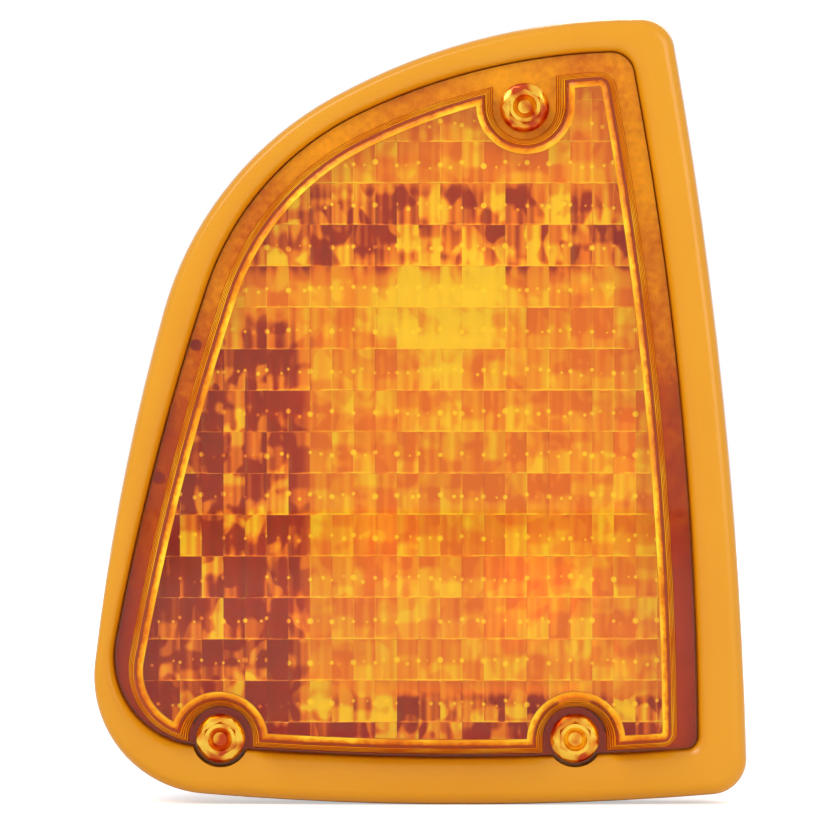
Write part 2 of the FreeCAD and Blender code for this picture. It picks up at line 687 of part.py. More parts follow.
def lens_gasket():
    """Flat seal between lens and bezel lip."""
    ring = OPENING.inset(GASKET_CLEARANCE).prism(LENS_BACK, LIP_FRONT)
    ears = [rod(place, EAR_RADIUS - GASKET_CLEARANCE, LENS_BACK, LIP_FRONT) for place in LOWER_SCREWS]
    ring = joined([ring] + ears)
    ring = ring.cut(window(LENS_GASKET_WIDTH, LENS_BACK, LIP_FRONT))
    return ring.cut(screw_holes(SCREW_HOLE_RADIUS, LENS_BACK, LIP_FRONT))


def lens_screw(place):
    """Hex washer-head screw with a dished head."""
    seat = LENS_FRONT
    top = seat - WASHER_THICKNESS - HEX_HEIGHT
    point = seat + SCREW_LENGTH
    body = turned([(0, seat - WASHER_THICKNESS), (WASHER_RADIUS - WASHER_EDGE, seat - WASHER_THICKNESS),
                   (WASHER_RADIUS, seat - WASHER_EDGE), (WASHER_RADIUS, seat), (SCREW_RADIUS, seat),
                   (SCREW_RADIUS, point - SCREW_TIP), (SCREW_RADIUS - SCREW_TIP, point), (0, point)], place)
    corner = HEX_ACROSS_FLATS / math.sqrt(3)
    points = []
    for step in range(HEX_SIDES + 1):
        angle = 2 * math.pi * step / HEX_SIDES
        points.append(Vector(place.x + corner * math.sin(angle), top, place.z + corner * math.cos(angle)))
    hexagon = Part.Face(Part.makePolygon(points)).extrude(Vector(0, HEX_HEIGHT, 0))
    cone = turned([(0, top), (corner - HEX_CHAMFER, top), (corner, top + HEX_CHAMFER),
                   (corner, seat), (0, seat)], place)
    floor = top + HEX_DISH_DEPTH
    hollow = turned([(0, top - OVERSHOOT), (HEX_DISH_RADIUS, top - OVERSHOOT), (HEX_DISH_RADIUS, top),
                     (HEX_DISH_RADIUS - HEX_DISH_DEPTH, floor), (0, floor)], place)
    return body.fuse(hexagon.common(cone)).cut(hollow)


def lens_screws():
    """The three lens screws."""
    return Part.makeCompound([lens_screw(place) for place in SCREWS])


def screw_inserts():
    """Threaded bushes in the housing flange."""
    bore = SCREW_RADIUS + THREAD_CLEARANCE
    bushes = []
    for place in SCREWS:
        bush = rod(place, INSERT_RADIUS, FLANGE_FRONT, INSERT_BACK)
        bushes.append(bush.cut(rod(place, bore, FLANGE_FRONT, INSERT_BACK)))
    return Part.makeCompound(bushes)


def stud(place):
    """Mounting stud with a head and collar that the flange is moulded round."""
    head_front = FLANGE_FRONT + STUD_HEAD_COVER
    head_back = head_front + STUD_HEAD_THICKNESS
    return turned([(0, head_front), (STUD_HEAD_RADIUS, head_front), (STUD_HEAD_RADIUS, head_back),
                   (STUD_COLLAR_RADIUS, head_back), (STUD_COLLAR_RADIUS, PANEL), (STUD_RADIUS, PANEL),
                   (STUD_RADIUS, STUD_REACH - STUD_TIP), (STUD_RADIUS - STUD_TIP, STUD_REACH),
                   (0, STUD_REACH)], place)


def mounting_studs():
    """The three mounting studs."""
    return Part.makeCompound([stud(place) for place in STUDS])


def mounting_gasket():
    """Seal between the housing flange and the panel."""
    ring = FLANGE.inset(MOUNTING_GASKET_INSET).prism(FLANGE_BACK, PANEL)
    hole = OPENING.inset(BOWL_INSET - MOUNTING_GASKET_BOWL_GAP, BOWL_ROUNDS)
    ring = ring.cut(hole.prism(FLANGE_BACK, PANEL))
    radius = STUD_COLLAR_RADIUS + STUD_HOLE_CLEARANCE
    return ring.cut([rod(place, radius, FLANGE_BACK, PANEL) for place in STUDS])


def bowl_form(wall):
    """Tapered solid of the bowl with a soft back edge, moved in by a wall."""
    rounds = [corner - wall for corner in BOWL_ROUNDS]
    slope = BOWL_TAPER / (BOWL_DEPTH - FLANGE_BACK)
    soft = BOWL_BACK_ROUND - wall
    turn = BOWL_DEPTH - BOWL_BACK_ROUND
    near = BOWL_INSET + wall
    wires = [OPENING.inset(near, rounds).wire(FLANGE_BACK)]
    for index in range(EDGE_STEPS + 1):
        angle = math.pi / 2 * index / EDGE_STEPS
        inset = near + slope * (turn - FLANGE_BACK) + soft * (1 - math.cos(angle))
        wires.append(OPENING.inset(inset, rounds).wire(turn + soft * math.sin(angle)))
    return loft(wires)


def bowl_hollow():
    """Inside of the bowl, with the screw lands left standing at its mouth."""
    rounds = [corner - BOWL_WALL for corner in BOWL_ROUNDS]
    mouth = OPENING.inset(BOWL_INSET + BOWL_WALL, rounds)
    hollow = bowl_form(BOWL_WALL).fuse(mouth.prism(FLANGE_FRONT, FLANGE_BACK))
    for place, way in zip(SCREWS, NOTCH_WAYS):
        hollow = hollow.cut(tongue(place, LAND_RADIUS, way, NOTCH_REACH, FLANGE_FRONT, FLANGE_BACK))
    return hollow


def lug_sectors(radius, sweep, turn, front, back):
    """Sectors of a ring round the bulb axis, for the lugs or for the gaps that let them in."""
    sectors = []
    for index in range(LUG_COUNT):
        sector = Part.makeCylinder(radius, back - front, at(BULB_AXIS, front), ALONG_Y, sweep)
        sector.rotate(BULB_AXIS, ALONG_Y, turn + index * 360 / LUG_COUNT - sweep / 2)
        sectors.append(sector)
    return sectors


def housing():
    """Moulded bowl with its flange, reflector posts, socket seat and breather nipple."""
    flange = FLANGE.prism(FLANGE_FRONT, FLANGE_BACK)
    body = joined([flange, bowl_form(0)]).cut(bowl_hollow())
    posts = []
    for place, _ in TABS:
        height = BOWL_FLOOR - TAB_BACK
        post = Part.makeCone(POST_TOP_RADIUS, POST_FOOT_RADIUS, height, at(place, TAB_BACK), ALONG_Y)
        posts.append(post)
    nipple = rod(VENT, NIPPLE_RADIUS, BOWL_DEPTH, BOWL_DEPTH + NIPPLE_HEIGHT)
    body = joined([body] + posts + [nipple])

    bore = TAB_SCREW_RADIUS + THREAD_CLEARANCE
    cuts = [rod(place, bore, TAB_BACK, REFLECTOR_FRONT + TAB_SCREW_LENGTH) for place, _ in TABS]
    cuts += screw_holes(INSERT_RADIUS, FLANGE_FRONT, INSERT_BACK)
    cuts += [stud(place) for place in STUDS]
    cuts.append(rod(VENT, NIPPLE_BORE, BOWL_FLOOR, BOWL_DEPTH + NIPPLE_HEIGHT))
    hole = SOCKET_BARREL_RADIUS + SOCKET_HOLE_CLEARANCE
    cuts.append(rod(BULB_AXIS, hole, BOWL_FLOOR, BOWL_DEPTH))
    cuts += lug_sectors(hole + LUG_REACH, LUG_SWEEP + LUG_SWEEP_CLEARANCE, 180 / LUG_COUNT,
                        BOWL_FLOOR, BOWL_DEPTH)
    return body.cut(cuts)


def dish(vertex):
    """Solid under a parabola turned about the bulb axis, open to the front."""
    rim = math.sqrt(4 * FOCAL_LENGTH * (vertex - REFLECTOR_FRONT))
    curve = Part.BezierCurve()
    curve.setPoles([Vector(0, vertex, 0), Vector(rim / 2, vertex, 0), Vector(rim, REFLECTOR_FRONT, 0)])
    sides = Part.makePolygon([Vector(rim, REFLECTOR_FRONT, 0), Vector(0, REFLECTOR_FRONT, 0),
                              Vector(0, vertex, 0)])
    return turned([curve.toShape()] + sides.Edges, BULB_AXIS)


def tub(wall):
    """Space that the reflector fills, moved in by a wall."""
    space = OPENING.inset(REFLECTOR_INSET + wall).prism(REFLECTOR_FRONT, DISH_VERTEX + FOCAL_LENGTH)
    return space.common(box(Vector(TUB_LEFT + wall, -FAR, -FAR), Vector(FAR, FAR, FAR)))


def reflector():
    """Dish with side walls, a neck hole for the bulb and three screw tabs."""
    outside = dish(DISH_VERTEX + REFLECTOR_WALL).common(tub(0))
    inside = dish(DISH_VERTEX).common(tub(REFLECTOR_WALL))
    tabs = []
    for place, way in TABS:
        reach = TAB_REACH + REFLECTOR_WALL
        tabs.append(tongue(place, TAB_RADIUS, way, reach, REFLECTOR_FRONT, TAB_BACK))
    body = joined([outside] + tabs).cut(inside)
    holes = [rod(place, TAB_SCREW_RADIUS + THREAD_CLEARANCE, REFLECTOR_FRONT, TAB_BACK) for place, _ in TABS]
    neck = rod(BULB_AXIS, REFLECTOR_NECK_RADIUS, REFLECTOR_FRONT, DISH_VERTEX + FOCAL_LENGTH)
    return body.cut(holes + [neck])


def reflector_screw(place):
    """Pan-head screw with a slot."""
    seat = REFLECTOR_FRONT
    top = seat - TAB_HEAD_HEIGHT
    end = seat + TAB_SCREW_LENGTH
    edge = TAB_HEAD_HEIGHT / 2
    body = turned([(0, top), (TAB_HEAD_RADIUS - edge, top), (TAB_HEAD_RADIUS, top + edge),
                   (TAB_HEAD_RADIUS, seat), (TAB_SCREW_RADIUS, seat), (TAB_SCREW_RADIUS, end),
                   (0, end)], place)
    half = TAB_RECESS_WIDTH / 2
    slot = box(place + Vector(-TAB_HEAD_RADIUS, top, -half),
               place + Vector(TAB_HEAD_RADIUS, top + TAB_RECESS_DEPTH, half))
    return body.cut(slot)


def reflector_screws():
    """The three reflector screws."""
    return Part.makeCompound([reflector_screw(place) for place, _ in TABS])


def glass_form(shrink, back):
    """Solid of the bulb's glass, moved in by a wall: globe, soft shoulder and neck."""
    globe = GLOBE_RADIUS - shrink
    neck = NECK_RADIUS - shrink
    wide = globe * GLOBE_SHARE
    drop = math.sqrt(globe ** 2 - wide ** 2)
    tip = Vector(0, GLOBE_CENTRE - globe, 0)
    side = Vector(globe, GLOBE_CENTRE, 0)
    leave = Vector(wide, GLOBE_CENTRE + drop, 0)
    meet = leave.y + (wide - neck) * wide / drop
    settle = meet + (meet - leave.y) / 2
    front = Part.Arc(tip, Vector(globe * math.sqrt(0.5), GLOBE_CENTRE - globe * math.sqrt(0.5), 0), side)
    waist = Part.Arc(side, Vector(globe * math.cos(math.asin(drop / globe) / 2),
                                  GLOBE_CENTRE + globe * math.sin(math.asin(drop / globe) / 2), 0), leave)
    shoulder = Part.BezierCurve()
    shoulder.setPoles([leave, Vector(neck, meet, 0), Vector(neck, settle, 0)])
    rest = Part.makePolygon([Vector(neck, settle, 0), Vector(neck, back, 0), Vector(0, back, 0), tip])
    return turned([front.toShape(), waist.toShape(), shoulder.toShape()] + rest.Edges, BULB_AXIS)


def bulb_glass():
    """Hollow glass envelope, open inside the cap."""
    return glass_form(0, GLASS_BACK).cut(glass_form(GLASS_WALL, GLASS_BACK + OVERSHOOT))


def bulb_stem():
    """Glass stem: a flare at the neck that runs into a flat pinch."""
    foot = at(BULB_AXIS, PINCH_BACK)
    flare = Part.makeCone(STEM_RADIUS, STEM_FLARE_RADIUS, STEM_FLARE_LENGTH, foot, ALONG_Y)
    half = Vector(PINCH_WIDTH / 2, 0, PINCH_THICKNESS / 2)
    pinch = box(at(BULB_AXIS - half, PINCH_FRONT), at(BULB_AXIS + half, PINCH_BACK))
    return flare.fuse(pinch)


def filament_places():
    """Each filament's depth and height beside the axis."""
    return [(MAIN_FILAMENT, WIRE_OFFSET), (SECOND_FILAMENT, -WIRE_OFFSET)]


def bulb_lead_wires():
    """Two wires for each filament, up from the pinch."""
    wires = []
    for depth, height in filament_places():
        for side in (-WIRE_SPREAD, WIRE_SPREAD):
            place = BULB_AXIS + Vector(side, 0, height)
            wires.append(rod(place, WIRE_RADIUS, depth - WIRE_RADIUS, PINCH_FRONT))
    return Part.makeCompound(wires)


def bulb_filaments():
    """The two coils, each between its pair of wires."""
    half = WIRE_SPREAD - WIRE_RADIUS
    coils = []
    for depth, height in filament_places():
        start = BULB_AXIS + Vector(-half, depth, height)
        coils.append(Part.makeCylinder(FILAMENT_RADIUS, 2 * half, start, ALONG_X))
    return Part.makeCompound(coils)


def bulb_cap():
    """Bayonet cap with two locking pins at different depths."""
    inner = CAP_RADIUS - CAP_WALL
    cup = turned([(inner, CAP_FRONT), (CAP_RADIUS, CAP_FRONT), (CAP_RADIUS, CAP_BACK),
                  (inner - CAP_LIP, CAP_BACK), (inner - CAP_LIP, CAP_BACK - CAP_WALL),
                  (inner, CAP_BACK - CAP_WALL)], BULB_AXIS)
    pins = []
    for side, back in ((-1, LOWER_PIN_BACK), (1, UPPER_PIN_BACK)):
        start = BULB_AXIS + Vector(side * inner, CAP_FRONT + back, 0)
        pins.append(Part.makeCylinder(PIN_RADIUS, CAP_WALL + PIN_REACH, start, ALONG_X * side))
    return joined([cup] + pins)


def contact_places():
    """The two contacts on the end of the bulb."""
    return [BULB_AXIS + Vector(side * CONTACT_SPREAD, 0, 0) for side in (-1, 1)]


def bulb_insulator():
    """Puck in the end of the cap, with holes for the contacts."""
    wide = CAP_RADIUS - CAP_WALL
    nose = wide - CAP_LIP
    front = INSULATOR_FRONT - CAP_WALL
    puck = turned([(0, front), (wide, front), (wide, CAP_BACK - CAP_WALL), (nose, CAP_BACK - CAP_WALL),
                   (nose, CONTACT_BASE), (0, CONTACT_BASE)], BULB_AXIS)
    return puck.cut([rod(place, CONTACT_RADIUS / 2, front, CONTACT_BASE) for place in contact_places()])


def bulb_contacts():
    """Solder contacts with their stems through the insulator."""
    contacts = []
    for place in contact_places():
        contacts.append(turned([(0, INSULATOR_FRONT), (CONTACT_RADIUS / 2, INSULATOR_FRONT),
                                (CONTACT_RADIUS / 2, CONTACT_BASE), (CONTACT_RADIUS, CONTACT_BASE),
                                (CONTACT_RADIUS - CONTACT_HEIGHT, BULB_END), (0, BULB_END)], place))
    return Part.makeCompound(contacts)


def socket_sleeve():
    """Bulb holder: thin sleeve with a stepped slot for each pin of the cap."""
    sleeve = rod(BULB_AXIS, SLEEVE_RADIUS, SLEEVE_FRONT, SLEEVE_BACK)
    sleeve = sleeve.cut(rod(BULB_AXIS, SLEEVE_BORE, SLEEVE_FRONT, SLEEVE_BACK))
    half = PIN_RADIUS + SLEEVE_SLOT_GAP
    reach = SLEEVE_RADIUS + OVERSHOOT
    for side_turn, back in ((180, LOWER_PIN_BACK), (0, UPPER_PIN_BACK)):
        seat = CAP_FRONT + back
        entry = box(Vector(0, SLEEVE_FRONT, -half), Vector(reach, seat + half, half))
        entry.rotate(Vector(0, 0, 0), ALONG_Y, SLEEVE_TURN)
        parts = [entry]
        for turn in (0, SLEEVE_TURN / 2):
            foot = box(Vector(0, seat - half, -half), Vector(reach, seat + half, half))
            foot.rotate(Vector(0, 0, 0), ALONG_Y, turn)
            parts.append(foot)
        slot = joined(parts)
        slot.rotate(Vector(0, 0, 0), ALONG_Y, side_turn)
        sleeve = sleeve.cut(slot.translated(BULB_AXIS))
    return sleeve


def blade(place, front):
    """Flat blade along Y that ends short of the connector's mouth."""
    half = Vector(BLADE_WIDTH / 2, 0, BLADE_THICKNESS / 2)
    return box(at(place - half, front), at(place + half, CONNECTOR_BACK - BLADE_INSET))


def blade_places():
    """Where the three blades pass through the carrier and the socket floor."""
    return [BULB_AXIS + Vector(-BLADE_SPREAD, 0, 0), BULB_AXIS + Vector(BLADE_SPREAD, 0, 0),
            BULB_AXIS + Vector(0, 0, GROUND_OFFSET)]


def blade_slots(front, back):
    """Slots for the three blades."""
    half = Vector(BLADE_WIDTH / 2 + BLADE_FIT, 0, BLADE_THICKNESS / 2 + BLADE_FIT)
    return [box(at(place - half, front), at(place + half, back)) for place in blade_places()]


def contact_terminal(contact, place):
    """Stamped terminal: a pad under one bulb contact, on a blade."""
    middle = (contact + place) * 0.5
    half = Vector(PAD_LENGTH / 2, 0, PAD_WIDTH / 2)
    pad = box(at(middle - half, PAD_FRONT), at(middle + half, PAD_FRONT + PAD_THICKNESS))
    return joined([pad, blade(place, PAD_FRONT)])


def signal_terminal():
    """Terminal of the bright filament."""
    return contact_terminal(contact_places()[0], blade_places()[0])


def marker_terminal():
    """Terminal of the dim filament."""
    return contact_terminal(contact_places()[1], blade_places()[1])


def ground_terminal():
    """Terminal against the back edge of the sleeve."""
    return blade(blade_places()[2], SLEEVE_BACK + CONTACT_GAP)


def contact_carrier():
    """Insulating disc that holds the terminals."""
    disc = rod(BULB_AXIS, SLEEVE_BORE, CARRIER_FRONT, CARRIER_BACK)
    return disc.cut(blade_slots(CARRIER_FRONT, CARRIER_BACK))


def rounded_block(width, height, corner, front, back):
    """Block on the bulb axis with round edges along Y."""
    half = Vector(width / 2, 0, height / 2)
    solid = box(at(BULB_AXIS - half, front), at(BULB_AXIS + half, back))
    edges = [edge for edge in solid.Edges if edge.BoundBox.YLength > (back - front) / 2]
    return solid.makeFillet(corner, edges)


def socket_body():
    """Twist-lock socket: barrel with lugs, flange, finger grips and connector shroud."""
    barrel = rod(BULB_AXIS, SOCKET_BARREL_RADIUS, BARREL_FRONT, SOCKET_SEAL_BACK)
    lugs = lug_sectors(SOCKET_BARREL_RADIUS + LUG_REACH, LUG_SWEEP, 0, LUG_BACK - LUG_THICKNESS, LUG_BACK)
    flange = rod(BULB_AXIS, SOCKET_FLANGE_RADIUS, SOCKET_SEAL_BACK, SOCKET_FLANGE_BACK)
    hub = rod(BULB_AXIS, HUB_RADIUS, SOCKET_FLANGE_BACK, SOCKET_FLOOR_BACK)
    grips = []
    for index in range(GRIP_COUNT):
        grip = box(Vector(0, SOCKET_FLANGE_BACK, -GRIP_WIDTH / 2),
                   Vector(HUB_RADIUS + GRIP_REACH, SOCKET_FLOOR_BACK, GRIP_WIDTH / 2))
        grip.rotate(Vector(0, 0, 0), ALONG_Y, index * 360 / GRIP_COUNT)
        grips.append(grip.translated(BULB_AXIS))
    shroud = rounded_block(CONNECTOR_WIDTH, CONNECTOR_HEIGHT, CONNECTOR_ROUND,
                           SOCKET_FLOOR_BACK, CONNECTOR_BACK)
    latch_low = Vector(-LATCH_WIDTH / 2, CONNECTOR_BACK - LATCH_BACK - LATCH_LENGTH, 0)
    latch_high = Vector(LATCH_WIDTH / 2, CONNECTOR_BACK - LATCH_BACK, CONNECTOR_HEIGHT / 2 + LATCH_HEIGHT)
    latch = box(BULB_AXIS + latch_low, BULB_AXIS + latch_high)
    body = joined([barrel, flange, hub, shroud, latch] + lugs + grips)

    mouth = rounded_block(CONNECTOR_WIDTH - 2 * CONNECTOR_WALL, CONNECTOR_HEIGHT - 2 * CONNECTOR_WALL,
                          CONNECTOR_ROUND - CONNECTOR_WALL, SOCKET_FLOOR_BACK, CONNECTOR_BACK)
    bore = rod(BULB_AXIS, SOCKET_BORE, BARREL_FRONT, CARRIER_BACK)
    return body.cut([mouth, bore] + blade_slots(CARRIER_BACK, SOCKET_FLOOR_BACK))


def socket_seal():
    """Flat ring between the socket flange and the housing."""
    ring = rod(BULB_AXIS, SOCKET_SEAL_RADIUS, BOWL_DEPTH, SOCKET_SEAL_BACK)
    return ring.cut(rod(BULB_AXIS, SOCKET_SEAL_RADIUS - SOCKET_SEAL_WIDTH, BOWL_DEPTH, SOCKET_SEAL_BACK))


def vent_cap():
    """Breather cap pressed on its nipple."""
    mouth = BOWL_DEPTH + VENT_STANDOFF
    top = mouth + VENT_CAP_HEIGHT
    ceiling = BOWL_DEPTH + NIPPLE_HEIGHT + VENT_FIT
    bore = NIPPLE_RADIUS + VENT_FIT
    return turned([(bore, mouth), (VENT_CAP_RADIUS, mouth), (VENT_CAP_RADIUS, top - VENT_CAP_EDGE),
                   (VENT_CAP_RADIUS - VENT_CAP_EDGE, top), (0, top), (0, ceiling), (bore, ceiling)], VENT)


PIECES = [
    bezel, lens, lens_gasket, lens_screws, screw_inserts, housing, mounting_gasket, mounting_studs,
    reflector, reflector_screws, vent_cap, bulb_glass, bulb_stem, bulb_lead_wires, bulb_filaments,
    bulb_cap, bulb_insulator, bulb_contacts, socket_body, socket_seal, socket_sleeve, contact_carrier,
    signal_terminal, marker_terminal, ground_terminal]

os.makedirs("parts", exist_ok=True)
for piece in PIECES:
    piece().exportStep("parts/" + piece.__name__ + ".step")
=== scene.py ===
import json
import math

import bmesh
import bpy
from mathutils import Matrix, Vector
from mathutils.bvhtree import BVHTree


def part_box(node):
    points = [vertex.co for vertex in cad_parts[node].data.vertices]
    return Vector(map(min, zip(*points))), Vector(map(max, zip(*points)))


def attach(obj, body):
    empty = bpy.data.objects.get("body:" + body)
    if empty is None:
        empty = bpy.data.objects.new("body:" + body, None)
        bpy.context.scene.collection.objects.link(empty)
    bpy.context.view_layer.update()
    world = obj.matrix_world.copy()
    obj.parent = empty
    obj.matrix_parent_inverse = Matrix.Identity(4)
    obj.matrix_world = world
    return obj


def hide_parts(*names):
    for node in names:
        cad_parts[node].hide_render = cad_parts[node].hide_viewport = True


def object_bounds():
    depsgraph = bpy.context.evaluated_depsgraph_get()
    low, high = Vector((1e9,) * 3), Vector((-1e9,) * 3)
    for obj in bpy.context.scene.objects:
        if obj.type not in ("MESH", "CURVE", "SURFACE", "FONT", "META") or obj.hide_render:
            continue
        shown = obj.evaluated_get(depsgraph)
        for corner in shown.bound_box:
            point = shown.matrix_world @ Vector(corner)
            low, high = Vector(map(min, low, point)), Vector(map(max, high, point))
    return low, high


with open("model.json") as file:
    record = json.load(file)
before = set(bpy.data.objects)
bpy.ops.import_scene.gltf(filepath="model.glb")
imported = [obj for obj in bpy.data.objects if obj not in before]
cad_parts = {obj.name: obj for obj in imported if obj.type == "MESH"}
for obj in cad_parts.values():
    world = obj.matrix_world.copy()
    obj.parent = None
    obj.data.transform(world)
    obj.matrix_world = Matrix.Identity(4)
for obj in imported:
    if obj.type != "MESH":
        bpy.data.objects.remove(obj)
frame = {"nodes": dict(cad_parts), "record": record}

# Sizes are metres, written as millimetres times MM. The lens faces -Y, with +Z up.
MM = 0.001
CAD_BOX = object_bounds()
BODY = "root"

# Photograph: what it spans at the rim, and where it is taken from
PHOTO_SPAN = 172.7 * MM
PHOTO_CENTRE_X = -0.35 * MM
PHOTO_CENTRE_Z = -1.7 * MM
RIM_PLANE = -16.0 * MM
CAMERA_DISTANCE = 950 * MM
SENSOR = 36.0

# Pillow optics on the inner face of the lens
ROW_PITCH = 8.6 * MM
ROW_PHASE = 3.1 * MM
COLUMN_PITCH = 4.5 * MM
COLUMN_PHASE = 0.6 * MM
CROWN_ACROSS = 0.45 * MM
CROWN_ALONG = 0.40 * MM
APEX_DROP = 0.9 * MM
OPTIC_APEX = -20.15 * MM
OPTIC_ROOT = -22.2 * MM
STEP_DRAFT = 0.08 * MM
PILLOW_FACETS = 6
CORE_SECTION = -13.5 * MM
CORE_FRONT = -23.0 * MM
CORE_BACK = -19.0 * MM
GASKET_GAP = 0.06 * MM

# Where zones of painted shade and a painted pool of light on the optics begin and are full, along X or Z:
# painted shade at the lower left, across a band of upper rows and on the last row, and the painted pool of
# light above the middle
LEFT_SHADE_ZONE = (-20 * MM, -28 * MM)
LOW_SHADE_ZONE = (21 * MM, 12 * MM)
SHADE_BAND_FOOT = (26 * MM, 31 * MM)
SHADE_BAND_TOP = (47 * MM, 43 * MM)
LAST_ROW_SHADE_ZONE = (-59 * MM, -62 * MM)
PAINTED_GLOW_X = 5.0 * MM
PAINTED_GLOW_Z = 22.0 * MM
PAINTED_GLOW_COLUMNS = 3.6

# Walls, flange and skin of the lens, with the spacing in depth of the painted lines of light on the walls,
# and the heights over which the flange's painted light goes from dark at the bottom to light at the top
WALL_LINE_SPACING = 1.9 * MM
FLANGE_FRONT = -15.0 * MM
FLANGE_LIGHT_RISE = (-60 * MM, 62 * MM)
SKIN_IOR = 1.05
MOULDING_IOR = 1.49

# How far a face of the lens looks back along Y: flat front, flange, all of the front, pillows and inner walls
FLAT_FRONT = -0.985
FLANGE_LOOK = -0.9
FRONT_LOOK = -0.2
PILLOW_LOOK = 0.3
CROWN_LOOK = 0.5
WALL_LOOK = 0.9
STEP_LOOK_ALONG_Z = 0.995

# Threads of the mounting studs
STUD_RADIUS = 2.5 * MM
THREAD_PITCH = 0.8 * MM
THREAD_TURNS = 15.0
THREAD_DEPTH = 0.24 * MM
THREAD_START = 3.2 * MM
THREAD_FACETS = 28

# Edges that turn by more than this stay crisp
PILLOW_EDGE = math.radians(12)
MOULDED_EDGE = math.radians(40)

# Places inside the bowl of the housing
BOWL_EYES = [Vector(place) * MM for place in (
    (0, -2, 0), (11, 12, -18), (30, 2, -50), (-30, 2, -50),
    (25, 2, 35), (-5, 2, 30), (-25, 2, -5), (30, 2, 0))]

# Studio: softboxes with their places and sizes in metres and powers in watts, and the light of the sky
SOFTBOXES = {
    "key_light": ((-0.7, -1.1, 1.0), 0.9, 12),
    "fill_light": ((1.0, -1.0, 0.4), 0.8, 5),
    "back_light": ((0.4, 1.2, 0.9), 0.9, 9),
}
SKY_LIGHT = 0.62
FLOOR_HALF = 3.0
FLOOR_GLOW = 0.5
CLEAR_BOUNCES = 9
GLOSSY_BOUNCES = 4
MATT_BOUNCES = 3

# Colours, linear
AMBER_TRIM = (0.70, 0.285, 0.006, 1)
AMBER_TRIM_PALE = (0.73, 0.310, 0.008, 1)
AMBER_CLEAR = (0.99, 0.84, 0.12, 1)
AMBER_CLEAR_DEEP = (0.98, 0.79, 0.08, 1)
# The CELL_ colours carry painted light and shade on the lens, in its pillow cells, on its walls and on its
# flange: dark red in painted shade up to yellow in painted highlights.
CELL_RED = (0.44, 0.020, 0.008, 1)
CELL_RED_ORANGE = (0.62, 0.085, 0.008, 1)
CELL_ORANGE = (0.96, 0.22, 0.010, 1)
CELL_AMBER = (1.00, 0.40, 0.015, 1)
CELL_YELLOW = (1.00, 0.68, 0.040, 1)
COAT_RED = (0.50, 0.045, 0.015, 1)
COAT_AMBER = (0.95, 0.52, 0.09, 1)
DARK_RED = (0.20, 0.013, 0.011, 1)
DARK_RED_PALE = (0.26, 0.019, 0.016, 1)
SEAL_DARK = (0.075, 0.010, 0.009, 1)
SEAL_DARK_PALE = (0.110, 0.016, 0.014, 1)
SEAL_RED = (0.50, 0.022, 0.018, 1)
SEAL_RED_PALE = (0.58, 0.034, 0.026, 1)
GOLD_COAT = (0.96, 0.56, 0.10, 1)
GOLD_COAT_PALE = (0.99, 0.80, 0.26, 1)
ZINC = (0.70, 0.46, 0.16, 1)
ZINC_PALE = (0.80, 0.62, 0.30, 1)
ZINC_AMBER = (0.80, 0.29, 0.03, 1)
# Dark and pale painted reflections of the lens on its screws, either side of the screws' own amber zinc.
SCREW_REFLECTION_DARK = (0.55, 0.070, 0.020, 1)
SCREW_REFLECTION_PALE = (0.94, 0.58, 0.07, 1)
BRASS = (0.75, 0.48, 0.16, 1)
BRASS_PALE = (0.84, 0.60, 0.26, 1)
CLEAR_GLASS = (0.95, 0.62, 0.16, 1)
CLEAR_GLASS_PALE = (0.97, 0.70, 0.24, 1)
WIRE = (0.52, 0.48, 0.42, 1)
WIRE_PALE = (0.70, 0.66, 0.60, 1)
SOCKET_BLACK = (0.045, 0.028, 0.026, 1)
SOCKET_BLACK_PALE = (0.075, 0.050, 0.045, 1)
FLOOR_PALE = (0.86, 0.86, 0.85, 1)
WHITE = (1, 1, 1, 1)


class Value:
    """A socket in a node tree that can be written into sums."""

    def __init__(self, tree, socket=None):
        self.tree = tree
        self.socket = socket

    def node(self, kind, settings=None, inputs=None, output=0):
        """Adds a node with its settings and its sockets' values or links, and gives one output."""
        made = self.tree.nodes.new(kind)
        for name, setting in (settings or {}).items():
            if name == "stops":
                self.set_stops(made.color_ramp, setting)
            else:
                setattr(made, name, setting)
        for name, given in (inputs or {}).items():
            if isinstance(given, Value):
                self.tree.links.new(given.socket, made.inputs[name])
            else:
                made.inputs[name].default_value = given
        return Value(self.tree, made.outputs[output] if made.outputs else None)

    def set_stops(self, ramp, stops):
        """Places a ramp's stops."""
        while len(ramp.elements) < len(stops):
            ramp.elements.new(1.0)
        for element, (position, colour) in zip(ramp.elements, stops):
            element.position = position
            element.color = colour

    def math(self, operation, first, second=0.0):
        """A Math node on two values."""
        return self.node("ShaderNodeMath", {"operation": operation}, {0: first, 1: second})

    def __add__(self, other):
        return self.math("ADD", self, other)

    def __radd__(self, other):
        return self.math("ADD", other, self)

    def __sub__(self, other):
        return self.math("SUBTRACT", self, other)

    def __rsub__(self, other):
        return self.math("SUBTRACT", other, self)

    def __mul__(self, other):
        return self.math("MULTIPLY", self, other)

    def __rmul__(self, other):
        return self.math("MULTIPLY", other, self)

    def __truediv__(self, other):
        return self.math("DIVIDE", self, other)

    def floor(self):
        return self.math("FLOOR", self)


def new_finish(name):
    """An empty material and the start of its nodes."""
    made = bpy.data.materials.new(name)
    made.use_nodes = True
    made.node_tree.nodes.clear()
    return made, Value(made.node_tree)


def grain(graph, scale, detail=4.0, stretch=(1, 1, 1)):
    """Noise on the piece's own coordinates, with features about a metre over the scale."""
    place = graph.node("ShaderNodeTexCoord", output="Object")
    turned = graph.node("ShaderNodeMapping", inputs={"Vector": place, "Scale": stretch})
    return graph.node("ShaderNodeTexNoise", inputs={"Vector": turned, "Scale": scale, "Detail": detail})


def between(graph, share, low, high):
    """Colour between two, by a share."""
    return graph.node("ShaderNodeValToRGB", {"stops": [(0.3, low), (0.7, high)]}, {"Fac": share})


